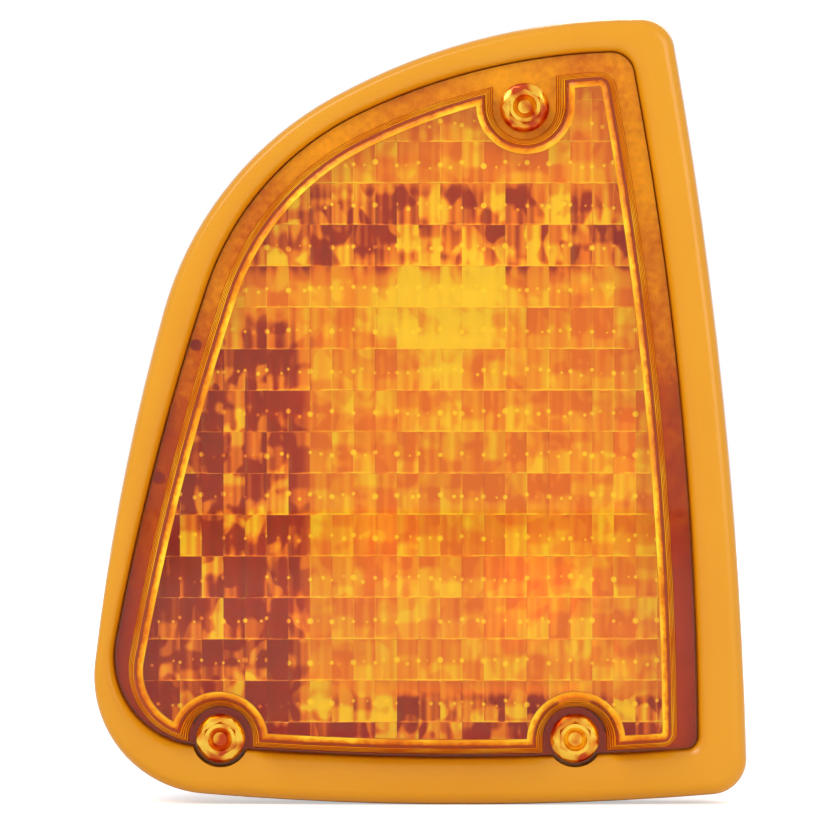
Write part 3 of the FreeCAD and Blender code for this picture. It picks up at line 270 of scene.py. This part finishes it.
def raised(graph, height, strength, distance):
    """Normal of a surface with fine relief."""
    return graph.node("ShaderNodeBump", inputs={"Height": height, "Strength": strength, "Distance": distance})


def finished(made, graph, sockets):
    """Closes a material with its surface."""
    surface = graph.node("ShaderNodeBsdfPrincipled", inputs=sockets)
    graph.node("ShaderNodeOutputMaterial", inputs={"Surface": surface})
    return made


def trim_gloss():
    """Glossy amber moulding with a faint orange peel."""
    made, graph = new_finish("trim_gloss")
    tone = grain(graph, 35.0)
    peel = grain(graph, 420.0, 2.0)
    haze = grain(graph, 90.0, 3.0)
    return finished(made, graph, {
        "Base Color": between(graph, tone, AMBER_TRIM, AMBER_TRIM_PALE),
        "Roughness": 0.14 + 0.14 * haze,
        "Specular IOR Level": 0.35,
        "Normal": raised(graph, peel, 0.06, 0.2 * MM)})


def named(graph, attribute):
    """A value that the mesh holds for each of its faces."""
    return graph.node("ShaderNodeAttribute", {"attribute_name": attribute}, output="Fac")


def stepped(graph, share, *stops):
    """Grey steps or slopes of a share."""
    greys = [(position, (grey, grey, grey, 1)) for position, grey in stops]
    return graph.node("ShaderNodeValToRGB", {"stops": greys}, {"Fac": share})


def sloped(graph, length, ends):
    """Share from 0 to 1 between two places along a length."""
    return graph.node("ShaderNodeMapRange", {"interpolation_type": "SMOOTHSTEP"}, {
        "Value": length, "From Min": ends[0], "From Max": ends[1]})


def chances(graph, across, along):
    """Three chances for each whole pair of steps."""
    cell = graph.node("ShaderNodeCombineXYZ", inputs={"X": across, "Y": along})
    drawn = graph.node("ShaderNodeTexWhiteNoise", {"noise_dimensions": "2D"}, {"Vector": cell}, "Color")
    return [graph.node("ShaderNodeSeparateColor", inputs={"Color": drawn}, output=band) for band in range(3)]


def spot(graph, off_x, off_z, radius):
    """Round spot about a place in a cell, with its offsets in columns and rows."""
    tall = off_z * (ROW_PITCH / COLUMN_PITCH)
    return stepped(graph, (off_x * off_x + tall * tall) / (radius * radius), (0.0, 1), (0.4, 0.9), (1.0, 0))


def cell_painted_patches(graph, column, row, shade_zones):
    """Painted light and shade about a middle tone, standing for what each cell refracts from inside the lamp:
    whole cells, bars, halves and blots, stronger in the zones of painted shade.
    """
    share_z = row - row.floor()
    light, split, turn = chances(graph, column.floor(), row.floor())
    bar_place = graph.node("ShaderNodeCombineXYZ", inputs={
        "X": column * 3.4, "Y": row.floor() * 7.3, "Z": light * 30})
    bars = graph.node("ShaderNodeTexNoise", inputs={"Vector": bar_place, "Scale": 1.0, "Detail": 0.0})
    blot_place = graph.node("ShaderNodeCombineXYZ", inputs={
        "X": column * 1.2, "Y": row * 1.7, "Z": split * 30})
    blots = graph.node("ShaderNodeTexNoise", inputs={
        "Vector": blot_place, "Scale": 0.9, "Detail": 0.0, "Distortion": 0.8})
    blots = stepped(graph, blots, (0.42, 0), (0.5, 0.6), (0.56, 1))
    height = (share_z - 0.25 - 0.5 * split) * 8
    half = stepped(graph, height + 0.5, (0.0, 0), (1.0, 1)) - 0.5
    side = stepped(graph, turn, (0.20, 1), (0.35, 0)) * 2 - 1
    patches = (0.14 + 0.46 * shade_zones) * (light - 0.5) + (0.33 + 0.47 * shade_zones) * (bars - 0.5)
    return patches + (0.13 + 0.11 * shade_zones) * half * side + (0.10 + 0.22 * shade_zones) * (blots - 0.5)


def cell_painted_glints(graph, column, row):
    """Painted highlights: small bright spots in the cells and on their edges, with thin painted lines of
    light at their feet, and thin painted lines at their sides, lighter in some cells and darker in others.
    """
    share_x = column - column.floor()
    share_z = row - row.floor()
    light, split, turn = chances(graph, column.floor(), row.floor())
    near = column + 0.5
    edge_size, edge_height, edge_light = chances(graph, near.floor() + 200, row.floor())
    edge_glint = spot(
        graph, near - near.floor() - 0.5, share_z - 0.40 - 0.12 * edge_height, 0.07 + 0.09 * edge_size)
    glint = spot(graph, share_x - 0.25 - 0.5 * turn, share_z - 0.36 - 0.16 * light, 0.05 + 0.07 * split)
    # foot is a painted line of light where each row steps down; the line at the sides is painted lighter in
    # some cells and darker in others.
    foot = stepped(graph, share_z, (0.0, 1), (0.022, 0.8), (0.045, 0))
    painted_side_line = stepped(graph, (share_x - 0.5) * (share_x - 0.5), (0.0, 0), (0.215, 0), (0.243, 1))
    glints = (0.25 + 0.5 * edge_light) * edge_glint + 0.6 * glint * turn
    return glints + (0.05 + 0.24 * edge_light) * foot + (0.30 * edge_light - 0.14) * painted_side_line


def cell_painted_light(graph, x, z):
    """How light each place of the optics is painted: zones of painted shade and a painted pool of light,
    painted patches in the cells, and painted glints and lines at their rims.
    """
    column = (x - COLUMN_PHASE) / COLUMN_PITCH
    row = (z - ROW_PHASE) / ROW_PITCH
    # left, band and the last row are zones of painted shade, and glow is a painted pool of light; outside the
    # painted shade no cell is painted darker than a set tone.
    left = sloped(graph, x, LEFT_SHADE_ZONE) * sloped(graph, z, LOW_SHADE_ZONE)
    band = sloped(graph, z, SHADE_BAND_FOOT) * sloped(graph, z, SHADE_BAND_TOP)
    last_row_shade = sloped(graph, z, LAST_ROW_SHADE_ZONE)
    shade_zones = graph.math("MAXIMUM", graph.math("MAXIMUM", left, band), last_row_shade)
    glow = spot(graph, (x - PAINTED_GLOW_X) / COLUMN_PITCH, (z - PAINTED_GLOW_Z) / ROW_PITCH, PAINTED_GLOW_COLUMNS)
    tone = 0.62 + cell_painted_patches(graph, column, row, shade_zones)
    tone = tone - 0.36 * left - 0.20 * band - 0.14 * last_row_shade + 0.28 * glow
    tone = graph.math("MAXIMUM", tone, 0.50 - 0.6 * shade_zones)
    return tone + cell_painted_glints(graph, column, row)


def scatter_painted_light(graph, share, clear, colour):
    """A clear surface that scatters a share of the light in a colour, here the painted light and shade of the
    lens.
    """
    haze = graph.node("ShaderNodeBsdfPrincipled", inputs={
        "Base Color": colour, "Roughness": 0.9, "Specular IOR Level": 0.0})
    return graph.node("ShaderNodeMixShader", inputs={0: share, 1: clear, 2: haze})


def lens_clear():
    """Clear amber moulding: glossy skin, pillow cells that scatter painted light and shade, walls with
    painted lines of light, and a flange with mottled painted light, lighter towards the top.
    """
    made, graph = new_finish("lens_clear")
    place = graph.node("ShaderNodeTexCoord", output="Object")
    x, y, z = (graph.node("ShaderNodeSeparateXYZ", inputs={"Vector": place}, output=axis) for axis in "XYZ")
    # tone is the painted light and shade of the pillow cells, and cells its colour.
    tone = cell_painted_light(graph, x, z)
    cells = graph.node("ShaderNodeValToRGB", {"stops": [
        (0.25, CELL_RED), (0.36, CELL_RED_ORANGE), (0.52, CELL_ORANGE), (0.68, CELL_AMBER),
        (0.84, CELL_YELLOW)]}, {"Fac": tone})
    # ridge and lines paint bright lines of light across the walls of the raised block, one to each step in
    # depth, stronger in some places than others.
    depth = y / WALL_LINE_SPACING
    fleck = grain(graph, 700.0, 3.0)
    ridge = stepped(graph, depth - depth.floor() + 0.25 * fleck, (0.1, 0), (0.35, 1), (0.55, 1), (0.8, 0))
    ridge = ridge * (0.25 + 1.1 * grain(graph, 110.0, 1.0))
    lines = graph.node("ShaderNodeValToRGB", {"stops": [
        (0.1, CELL_RED_ORANGE), (0.4, CELL_ORANGE), (0.7, CELL_AMBER), (1.0, CELL_YELLOW)]}, {"Fac": ridge})
    optic = named(graph, "optic")
    wall = named(graph, "wall")
    flange = named(graph, "flange")
    # mottle is painted light on the flange, patchy and lighter towards the top, and band is its colour.
    mottle = sloped(graph, z, FLANGE_LIGHT_RISE) * 0.72 + 0.5 * fleck + grain(graph, 38.0, 1.0) - 0.72
    band = graph.node("ShaderNodeValToRGB", {"stops": [
        (0.1, CELL_RED_ORANGE), (0.45, CELL_ORANGE), (0.8, CELL_AMBER)]}, {"Fac": mottle})
    flow = grain(graph, 60.0, 1.0, (1, 1, 4))
    skin = graph.node("ShaderNodeBsdfPrincipled", inputs={
        "Base Color": between(graph, flow, AMBER_CLEAR_DEEP, AMBER_CLEAR),
        "Roughness": 0.015 * flow,
        "Transmission Weight": 1.0,
        "IOR": SKIN_IOR,
        "Coat Weight": (0.75 + 0.1 * flow) * named(graph, "front"),
        "Coat IOR": MOULDING_IOR,
        "Coat Roughness": 0.015})
    pillows = graph.node("ShaderNodeBsdfPrincipled", inputs={
        "Base Color": cells,
        "Roughness": 0.05,
        "Transmission Weight": 1.0,
        "IOR": MOULDING_IOR})
    pillows = scatter_painted_light(graph, 0.52 + 0.25 * tone, pillows, cells)
    walls = scatter_painted_light(graph, 0.45 + 0.5 * ridge, skin, lines)
    flanges = scatter_painted_light(graph, 0.05 + 0.8 * mottle, skin, band)
    surface = skin
    for part, finish in ((wall, walls), (flange, flanges), (optic, pillows)):
        surface = graph.node("ShaderNodeMixShader", inputs={0: part, 1: surface, 2: finish})
    graph.node("ShaderNodeOutputMaterial", inputs={"Surface": surface})
    return made


def seal_rubber(name, deep, pale):
    """Matt dark red rubber with fine pores."""
    made, graph = new_finish(name)
    tone = grain(graph, 160.0, 3.0)
    pores = grain(graph, 1800.0, 1.0)
    return finished(made, graph, {
        "Base Color": between(graph, tone, deep, pale),
        "Roughness": 0.55 + 0.3 * pores,
        "Normal": raised(graph, pores, 0.35, 0.1 * MM)})


def housing_plastic():
    """Dark red moulding with a fine spark texture, and a streaked metallised coat inside its bowl."""
    made, graph = new_finish("housing_plastic")
    plain = between(graph, grain(graph, 60.0, 3.0), DARK_RED, DARK_RED_PALE)
    spark = grain(graph, 1500.0, 1.0)
    coat = between(graph, grain(graph, 60.0, 3.0, (1.6, 1, 0.7)), COAT_RED, COAT_AMBER)
    inside = named(graph, "inside")
    colour = graph.node("ShaderNodeMix", {"data_type": "RGBA"}, {0: inside, 6: plain, 7: coat}, output=2)
    return finished(made, graph, {
        "Base Color": colour,
        "Metallic": 0.9 * inside,
        "Roughness": 0.38 + 0.22 * spark - 0.2 * inside,
        "Normal": raised(graph, spark, 0.22, 0.08 * MM)})


def socket_plastic():
    """Dark moulding with a fine spark texture."""
    made, graph = new_finish("socket_plastic")
    tone = grain(graph, 140.0, 6.0)
    spark = grain(graph, 1700.0, 4.0)
    return finished(made, graph, {
        "Base Color": between(graph, tone, SOCKET_BLACK, SOCKET_BLACK_PALE),
        "Roughness": 0.42 + 0.25 * spark,
        "Normal": raised(graph, spark, 0.25, 0.08 * MM)})


def mirror_coat():
    """Metallised coat under an amber lacquer, faintly clouded."""
    made, graph = new_finish("reflector")
    cloud = grain(graph, 45.0, 1.0)
    return finished(made, graph, {
        "Base Color": between(graph, cloud, GOLD_COAT, GOLD_COAT_PALE),
        "Metallic": 1.0,
        "Roughness": 0.02 + 0.12 * cloud})


def metal_finish(name, deep, pale, smooth, mottle, drawn=(1, 1, 1)):
    """Bare or plated metal, mottled in colour and roughness, with lines along a direction if drawn."""
    made, graph = new_finish(name)
    tone = grain(graph, mottle, 3.0)
    lines = grain(graph, 900.0, 2.0, drawn)
    return finished(made, graph, {
        "Base Color": between(graph, tone, deep, pale),
        "Metallic": 1.0,
        "Roughness": smooth + 0.14 * lines,
        "Normal": raised(graph, lines, 0.05, 0.03 * MM)})


def screw_glint():
    """Bright plated screw with painted reflections: dark and light patches of the amber lens round it are
    painted into its colour.
    """
    made, graph = new_finish("screw_glint")
    painted_reflection = grain(graph, 260.0, 1.0, (1, 0.4, 1))
    lines = grain(graph, 900.0, 2.0)
    colour = graph.node("ShaderNodeValToRGB", {"stops": [
        (0.36, SCREW_REFLECTION_DARK), (0.45, ZINC_AMBER), (0.57, SCREW_REFLECTION_PALE)]}, {"Fac": painted_reflection})
    return finished(made, graph, {
        "Base Color": colour,
        "Metallic": 1.0,
        "Roughness": 0.10 + 0.12 * lines,
        "Normal": raised(graph, lines, 0.05, 0.03 * MM)})


def bulb_clear():
    """Amber bulb glass, a little frosted."""
    made, graph = new_finish("bulb_clear")
    tone = grain(graph, 40.0, 1.0)
    return finished(made, graph, {
        "Base Color": between(graph, tone, CLEAR_GLASS, CLEAR_GLASS_PALE),
        "Roughness": 0.12 + 0.1 * tone,
        "Transmission Weight": 1.0,
        "IOR": 1.5})


def floor_white():
    """Pale floor that reads as white round the shadow."""
    made, graph = new_finish("floor_white")
    tone = grain(graph, 6.0)
    path = graph.node("ShaderNodeLightPath", output="Is Camera Ray")
    pale = graph.node("ShaderNodeBsdfPrincipled", inputs={
        "Base Color": between(graph, tone, FLOOR_PALE, WHITE), "Roughness": 0.9, "Specular IOR Level": 0.0})
    glow = graph.node("ShaderNodeEmission", inputs={"Color": WHITE, "Strength": FLOOR_GLOW * path})
    both = graph.node("ShaderNodeAddShader", inputs={0: pale, 1: glow})
    graph.node("ShaderNodeOutputMaterial", inputs={"Surface": both})
    return made


FINISHES = {
    "trim": trim_gloss(),
    "lens": lens_clear(),
    "seal": seal_rubber("seal_rubber", SEAL_DARK, SEAL_DARK_PALE),
    "plated_screw": metal_finish("plated_screw", ZINC, ZINC_PALE, 0.16, 220.0, (1, 4, 1)),
    "brass": metal_finish("brass", BRASS, BRASS_PALE, 0.20, 180.0, (1, 6, 1)),
    "housing": housing_plastic(),
    "reflector": mirror_coat(),
    "bulb_glass": bulb_clear(),
    "bulb_wire": metal_finish("bulb_wire", WIRE, WIRE_PALE, 0.25, 700.0, (6, 1, 1)),
    "insulator": socket_plastic(),
    "socket": socket_plastic(),
}
NODE_FINISHES = {
    "lens_gasket": seal_rubber("lens_seal", SEAL_RED, SEAL_RED_PALE),
    "lens_screws": screw_glint(),
}
SLOT_OF = {row["node"]: row["material_slot"] for row in frame["record"]["subparts"]}


def solid_copy(node):
    """A welded copy of a CAD solid's mesh."""
    shape = bmesh.new()
    shape.from_mesh(frame["nodes"][node].data)
    bmesh.ops.remove_doubles(shape, verts=shape.verts, dist=0.001 * MM)
    return shape


def to_object(name, shape):
    """Object of a mesh under construction."""
    mesh = bpy.data.meshes.new(name)
    shape.to_mesh(mesh)
    shape.free()
    made = bpy.data.objects.new(name, mesh)
    bpy.context.scene.collection.objects.link(made)
    return made


def soften(shape, edge_angle):
    """Smooth faces with a crease at each edge that turns by more than its angle."""
    for face in shape.faces:
        face.smooth = True
    for edge in shape.edges:
        edge.smooth = edge.is_manifold and edge.calc_face_angle(math.pi) < edge_angle(edge)


def work_in(piece):
    """Turns a piece's modifiers into its own mesh."""
    depsgraph = bpy.context.evaluated_depsgraph_get()
    mesh = bpy.data.meshes.new_from_object(piece.evaluated_get(depsgraph))
    piece.modifiers.clear()
    piece.data = mesh


def settle_normals(piece):
    """Lets the large faces of a piece stay flat beside its soft edges."""
    modifier = piece.modifiers.new("settle", "WEIGHTED_NORMAL")
    modifier.keep_sharp = True
    work_in(piece)


def install(piece, slot, *nodes):
    """Puts a finished piece in place of its CAD solids."""
    settle_normals(piece)
    piece.data.materials.clear()
    piece.data.materials.append(NODE_FINISHES.get(nodes[0], FINISHES[slot]))
    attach(piece, BODY)
    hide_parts(*nodes)
    return piece


def mark_inside(shape):
    """Notes on each face of the housing whether the inside of the bowl sees it."""
    inside = shape.faces.layers.float.new("inside")
    tree = BVHTree.FromBMesh(shape)
    for index, face in enumerate(shape.faces):
        centre = face.calc_center_median()
        hits = [tree.ray_cast(eye, centre - eye)[2] for eye in BOWL_EYES]
        face[inside] = float(index in hits)


def grown(name, tree, values):
    """Mesh of a geometry tree with its inputs set by name."""
    carrier = bpy.data.objects.new(name, bpy.data.meshes.new(name))
    bpy.context.scene.collection.objects.link(carrier)
    modifier = carrier.modifiers.new(name, "NODES")
    modifier.node_group = tree
    for item in tree.interface.items_tree:
        if item.in_out == "INPUT":
            modifier[item.identifier] = values[item.name]
    work_in(carrier)
    mesh = carrier.data
    bpy.data.objects.remove(carrier)
    return mesh


def new_tree(name, counts, sizes):
    """An empty geometry tree with named whole numbers, sizes and a finish to set, and those as values."""
    tree = bpy.data.node_groups.new(name, "GeometryNodeTree")
    tree.interface.new_socket("Geometry", in_out="OUTPUT", socket_type="NodeSocketGeometry")
    for count in counts:
        tree.interface.new_socket(count, in_out="INPUT", socket_type="NodeSocketInt")
    for size in sizes:
        tree.interface.new_socket(size, in_out="INPUT", socket_type="NodeSocketFloat")
    tree.interface.new_socket("Finish", in_out="INPUT", socket_type="NodeSocketMaterial")
    entry = tree.nodes.new("NodeGroupInput")
    given = {socket.name: Value(tree, socket) for socket in entry.outputs if socket.name}
    return Value(tree), given


def close_tree(graph, geometry, finish):
    """Ends a geometry tree with real faces in a finish."""
    real = graph.node("GeometryNodeRealizeInstances", inputs={"Geometry": geometry})
    dressed = graph.node("GeometryNodeSetMaterial", inputs={"Geometry": real, "Material": finish})
    graph.node("NodeGroupOutput", inputs={"Geometry": dressed})
    return graph.tree


def thread_tree():
    """Geometry nodes for a screw thread: a ridge wound along +Z."""
    graph, given = new_tree("thread", (), ("Radius", "Pitch", "Turns", "Depth"))
    path = graph.node("GeometryNodeCurveSpiral", inputs={
        "Resolution": THREAD_FACETS, "Rotations": given["Turns"], "Start Radius": given["Radius"],
        "End Radius": given["Radius"], "Height": given["Turns"] * given["Pitch"]})
    ridge = graph.node("GeometryNodeCurvePrimitiveCircle", inputs={"Resolution": 4, "Radius": given["Depth"]})
    wound = graph.node("GeometryNodeCurveToMesh", inputs={
        "Curve": path, "Profile Curve": ridge, "Fill Caps": True})
    return close_tree(graph, wound, given["Finish"])


def thread_studs(shape):
    """Winds a thread on each stud."""
    mesh = grown("stud_thread", thread_tree(), {
        "Radius": STUD_RADIUS, "Pitch": THREAD_PITCH, "Turns": THREAD_TURNS, "Depth": THREAD_DEPTH,
        "Finish": FINISHES["plated_screw"]})
    for mount in frame["record"]["mounts"]:
        if mount["kind"] == "pin":
            before = set(shape.verts)
            shape.from_mesh(mesh)
            x, _, z = mount["pos_m"]
            for vertex in set(shape.verts) - before:
                across, up, along = vertex.co
                vertex.co = (x + across, THREAD_START + along, z + up)
    bmesh.ops.recalc_face_normals(shape, faces=shape.faces)


def dress(node):
    """Stands a softly shaded copy for a CAD solid, in its own finish."""
    shape = solid_copy(node)
    if node == "lens_gasket":
        front = min(vertex.co.y for vertex in shape.verts)
        for vertex in shape.verts:
            if vertex.co.y < front + GASKET_GAP:
                vertex.co.y = front + GASKET_GAP
    if node == "housing":
        mark_inside(shape)
    if node == "mounting_studs":
        thread_studs(shape)
    soften(shape, lambda edge: MOULDED_EDGE)
    return install(to_object(node + "_dressed", shape), SLOT_OF[node], node)


def pillow_tree():
    """Geometry nodes for a sheet of pillow optics, row above row with a step between them."""
    graph, given = new_tree("pillow_sheet", ("Columns", "Rows", "Facets"), (
        "Left", "Bottom", "Column Pitch", "Row Pitch", "Crown Across", "Crown Along",
        "Apex Drop", "Apex Depth", "Step Draft"))
    facets = given["Facets"]
    across = given["Columns"] * facets + 1
    along = given["Rows"] * (facets + 1)
    grid = graph.node("GeometryNodeMeshGrid", inputs={"Vertices X": across, "Vertices Y": along})
    index = graph.node("GeometryNodeInputIndex")
    step_x = (index / along + 0.001).floor()
    step_z = index - step_x * along
    column = (step_x / facets + 0.001).floor()
    row = (step_z / (facets + 1) + 0.001).floor()
    share_x = step_x / facets - column
    share_z = (step_z - row * (facets + 1)) / facets
    x = given["Left"] + step_x / facets * given["Column Pitch"]
    rise = share_z * (given["Row Pitch"] - given["Step Draft"])
    z = given["Bottom"] + row * given["Row Pitch"] + rise
    off_x = share_x * 2 - 1
    off_z = (rise + given["Apex Drop"]) / given["Row Pitch"] * 2 - 1
    y = given["Apex Depth"] - given["Crown Across"] * off_x * off_x - given["Crown Along"] * off_z * off_z
    place = graph.node("ShaderNodeCombineXYZ", inputs={"X": x, "Y": y, "Z": z})
    sheet = graph.node("GeometryNodeSetPosition", inputs={"Geometry": grid, "Position": place})
    return close_tree(graph, sheet, given["Finish"])


def pillow_slab():
    """The sheet of pillows, closed to a slab that reaches into the front wall of the lens."""
    low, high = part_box("lens")
    first_column = math.floor((low.x - COLUMN_PHASE) / COLUMN_PITCH)
    last_column = math.ceil((high.x - COLUMN_PHASE) / COLUMN_PITCH)
    first_row = math.floor((low.z - ROW_PHASE) / ROW_PITCH)
    last_row = math.ceil((high.z - ROW_PHASE) / ROW_PITCH)
    mesh = grown("pillow_sheet", pillow_tree(), {
        "Columns": last_column - first_column, "Rows": last_row - first_row, "Facets": PILLOW_FACETS,
        "Left": COLUMN_PHASE + first_column * COLUMN_PITCH, "Bottom": ROW_PHASE + first_row * ROW_PITCH,
        "Column Pitch": COLUMN_PITCH, "Row Pitch": ROW_PITCH, "Crown Across": CROWN_ACROSS,
        "Crown Along": CROWN_ALONG, "Apex Drop": APEX_DROP, "Apex Depth": OPTIC_APEX,
        "Step Draft": STEP_DRAFT, "Finish": FINISHES["lens"]})
    shape = bmesh.new()
    shape.from_mesh(mesh)
    rim = [edge for edge in shape.edges if edge.is_boundary]
    grown_wall = bmesh.ops.extrude_edge_only(shape, edges=rim)["geom"]
    for part in grown_wall:
        if isinstance(part, bmesh.types.BMVert):
            part.co.y = OPTIC_ROOT
    foot = [part for part in grown_wall if isinstance(part, bmesh.types.BMEdge)]
    bmesh.ops.contextual_create(shape, geom=foot)
    bmesh.ops.recalc_face_normals(shape, faces=shape.faces)
    return to_object("pillow_slab", shape)


def lens_core():
    """The hollow of the lens as a block, a little into its walls, from a section through its flange."""
    shape = solid_copy("lens")
    everything = list(shape.verts) + list(shape.edges) + list(shape.faces)
    bmesh.ops.bisect_plane(shape, geom=everything, plane_co=(0, CORE_SECTION, 0), plane_no=(0, 1, 0),
                           clear_inner=True, clear_outer=True)
    loops = []
    left = set(shape.verts)
    while left:
        loop = [left.pop()]
        for vertex in loop:
            for edge in vertex.link_edges:
                other = edge.other_vert(vertex)
                if other in left:
                    left.remove(other)
                    loop.append(other)
        loops.append(loop)
    loops.sort(key=lambda loop: max(v.co.z for v in loop) - min(v.co.z for v in loop))
    hollow = set(loops[-2])
    bmesh.ops.delete(shape, geom=[v for v in shape.verts if v not in hollow], context="VERTS")
    bmesh.ops.contextual_create(shape, geom=shape.edges)
    for vertex in shape.verts:
        vertex.co.y = CORE_FRONT
    raised_part = bmesh.ops.extrude_face_region(shape, geom=list(shape.faces))["geom"]
    for part in raised_part:
        if isinstance(part, bmesh.types.BMVert):
            part.co.y = CORE_BACK
    bmesh.ops.recalc_face_normals(shape, faces=shape.faces)
    return to_object("lens_core", shape)


def combine(piece, other, operation):
    """Joins or trims a solid by another one, which is used up."""
    modifier = piece.modifiers.new(operation, "BOOLEAN")
    modifier.operation = operation
    modifier.solver = "EXACT"
    modifier.object = other
    work_in(piece)
    bpy.data.objects.remove(other)


def lens_edge(edge):
    """Pillows meet in fine creases, and the rest of the lens has soft mouldings."""
    on_optics = all(face.normal.y > CROWN_LOOK and OPTIC_ROOT < face.calc_center_median().y < CORE_BACK
                    for face in edge.link_faces)
    return PILLOW_EDGE if on_optics else MOULDED_EDGE


def mark_lens(shape):
    """Notes on each face whether it belongs to the optics, the block's walls, the flange or the front."""
    optic = shape.faces.layers.float.new("optic")
    wall = shape.faces.layers.float.new("wall")
    flange = shape.faces.layers.float.new("flange")
    front = shape.faces.layers.float.new("front")
    for face in shape.faces:
        depth = face.calc_center_median().y
        inside = OPTIC_ROOT < depth < CORE_BACK
        look = face.normal.y
        face[optic] = float(inside and (look > PILLOW_LOOK or abs(face.normal.z) > STEP_LOOK_ALONG_Z))
        face[wall] = float(depth < FLANGE_FRONT and FLAT_FRONT < look < WALL_LOOK and not face[optic])
        face[front] = float(look < FRONT_LOOK)
        face[flange] = float(depth > FLANGE_FRONT - GASKET_GAP and look < FLANGE_LOOK)


def build_lens():
    """Clear lens with finely curved pillows in place of the solid's coarse ones."""
    optics = pillow_slab()
    combine(optics, lens_core(), "INTERSECT")
    piece = to_object("lens_clear", solid_copy("lens"))
    combine(piece, optics, "UNION")
    shape = bmesh.new()
    shape.from_mesh(piece.data)
    soften(shape, lens_edge)
    mark_lens(shape)
    shape.to_mesh(piece.data)
    shape.free()
    install(piece, "lens", "lens")


def build_floor():
    """Pale floor under the lamp."""
    low, _ = CAD_BOX
    mesh = bpy.data.meshes.new("floor")
    corners = [(x * FLOOR_HALF, y * FLOOR_HALF, low.z) for x, y in ((-1, -1), (1, -1), (1, 1), (-1, 1))]
    mesh.from_pydata(corners, [], [(0, 1, 2, 3)])
    floor = bpy.data.objects.new("floor", mesh)
    floor.data.materials.append(floor_white())
    bpy.context.scene.collection.objects.link(floor)


def add_softbox(name, place, size, power):
    """Square lamp that looks at the middle of the lens."""
    lamp = bpy.data.lights.new(name, "AREA")
    lamp.size = size
    lamp.energy = power
    carrier = bpy.data.objects.new(name, lamp)
    carrier.location = place
    carrier.rotation_euler = Vector(place).to_track_quat("Z", "Y").to_euler()
    bpy.context.scene.collection.objects.link(carrier)


def build_light():
    """Soft studio light from all round, and a white background."""
    for name, (place, size, power) in SOFTBOXES.items():
        add_softbox(name, place, size, power)
    world = bpy.data.worlds.new("studio")
    world.use_nodes = True
    world.node_tree.nodes.clear()
    graph = Value(world.node_tree)
    seen = graph.node("ShaderNodeLightPath", output="Is Camera Ray")
    mirrored = graph.node("ShaderNodeLightPath", output="Is Glossy Ray")
    through = graph.node("ShaderNodeLightPath", output="Is Transmission Ray")
    clear = graph.math("MAXIMUM", seen, graph.math("MAXIMUM", mirrored, through))
    sky = graph.node("ShaderNodeBackground", inputs={
        "Color": WHITE, "Strength": SKY_LIGHT + (1 - SKY_LIGHT) * clear})
    graph.node("ShaderNodeOutputWorld", inputs={"Surface": sky})
    bpy.context.scene.world = world


def build_camera():
    """Camera square on to the lens, as far off as the photograph's."""
    lens = bpy.data.cameras.new("camera")
    lens.sensor_width = SENSOR
    lens.lens = SENSOR * CAMERA_DISTANCE / PHOTO_SPAN
    camera = bpy.data.objects.new("camera", lens)
    camera.location = (PHOTO_CENTRE_X, RIM_PLANE - CAMERA_DISTANCE, PHOTO_CENTRE_Z)
    camera.rotation_euler = (math.radians(90), 0, 0)
    bpy.context.scene.collection.objects.link(camera)
    bpy.context.scene.camera = camera


for node in sorted(frame["nodes"]):
    if node != "lens":
        dress(node)
build_lens()
build_floor()
build_light()
build_camera()
bpy.context.scene.view_settings.view_transform = "Standard"
bpy.context.scene.cycles.max_bounces = CLEAR_BOUNCES
bpy.context.scene.cycles.transmission_bounces = CLEAR_BOUNCES
bpy.context.scene.cycles.glossy_bounces = GLOSSY_BOUNCES
bpy.context.scene.cycles.diffuse_bounces = MATT_BOUNCES
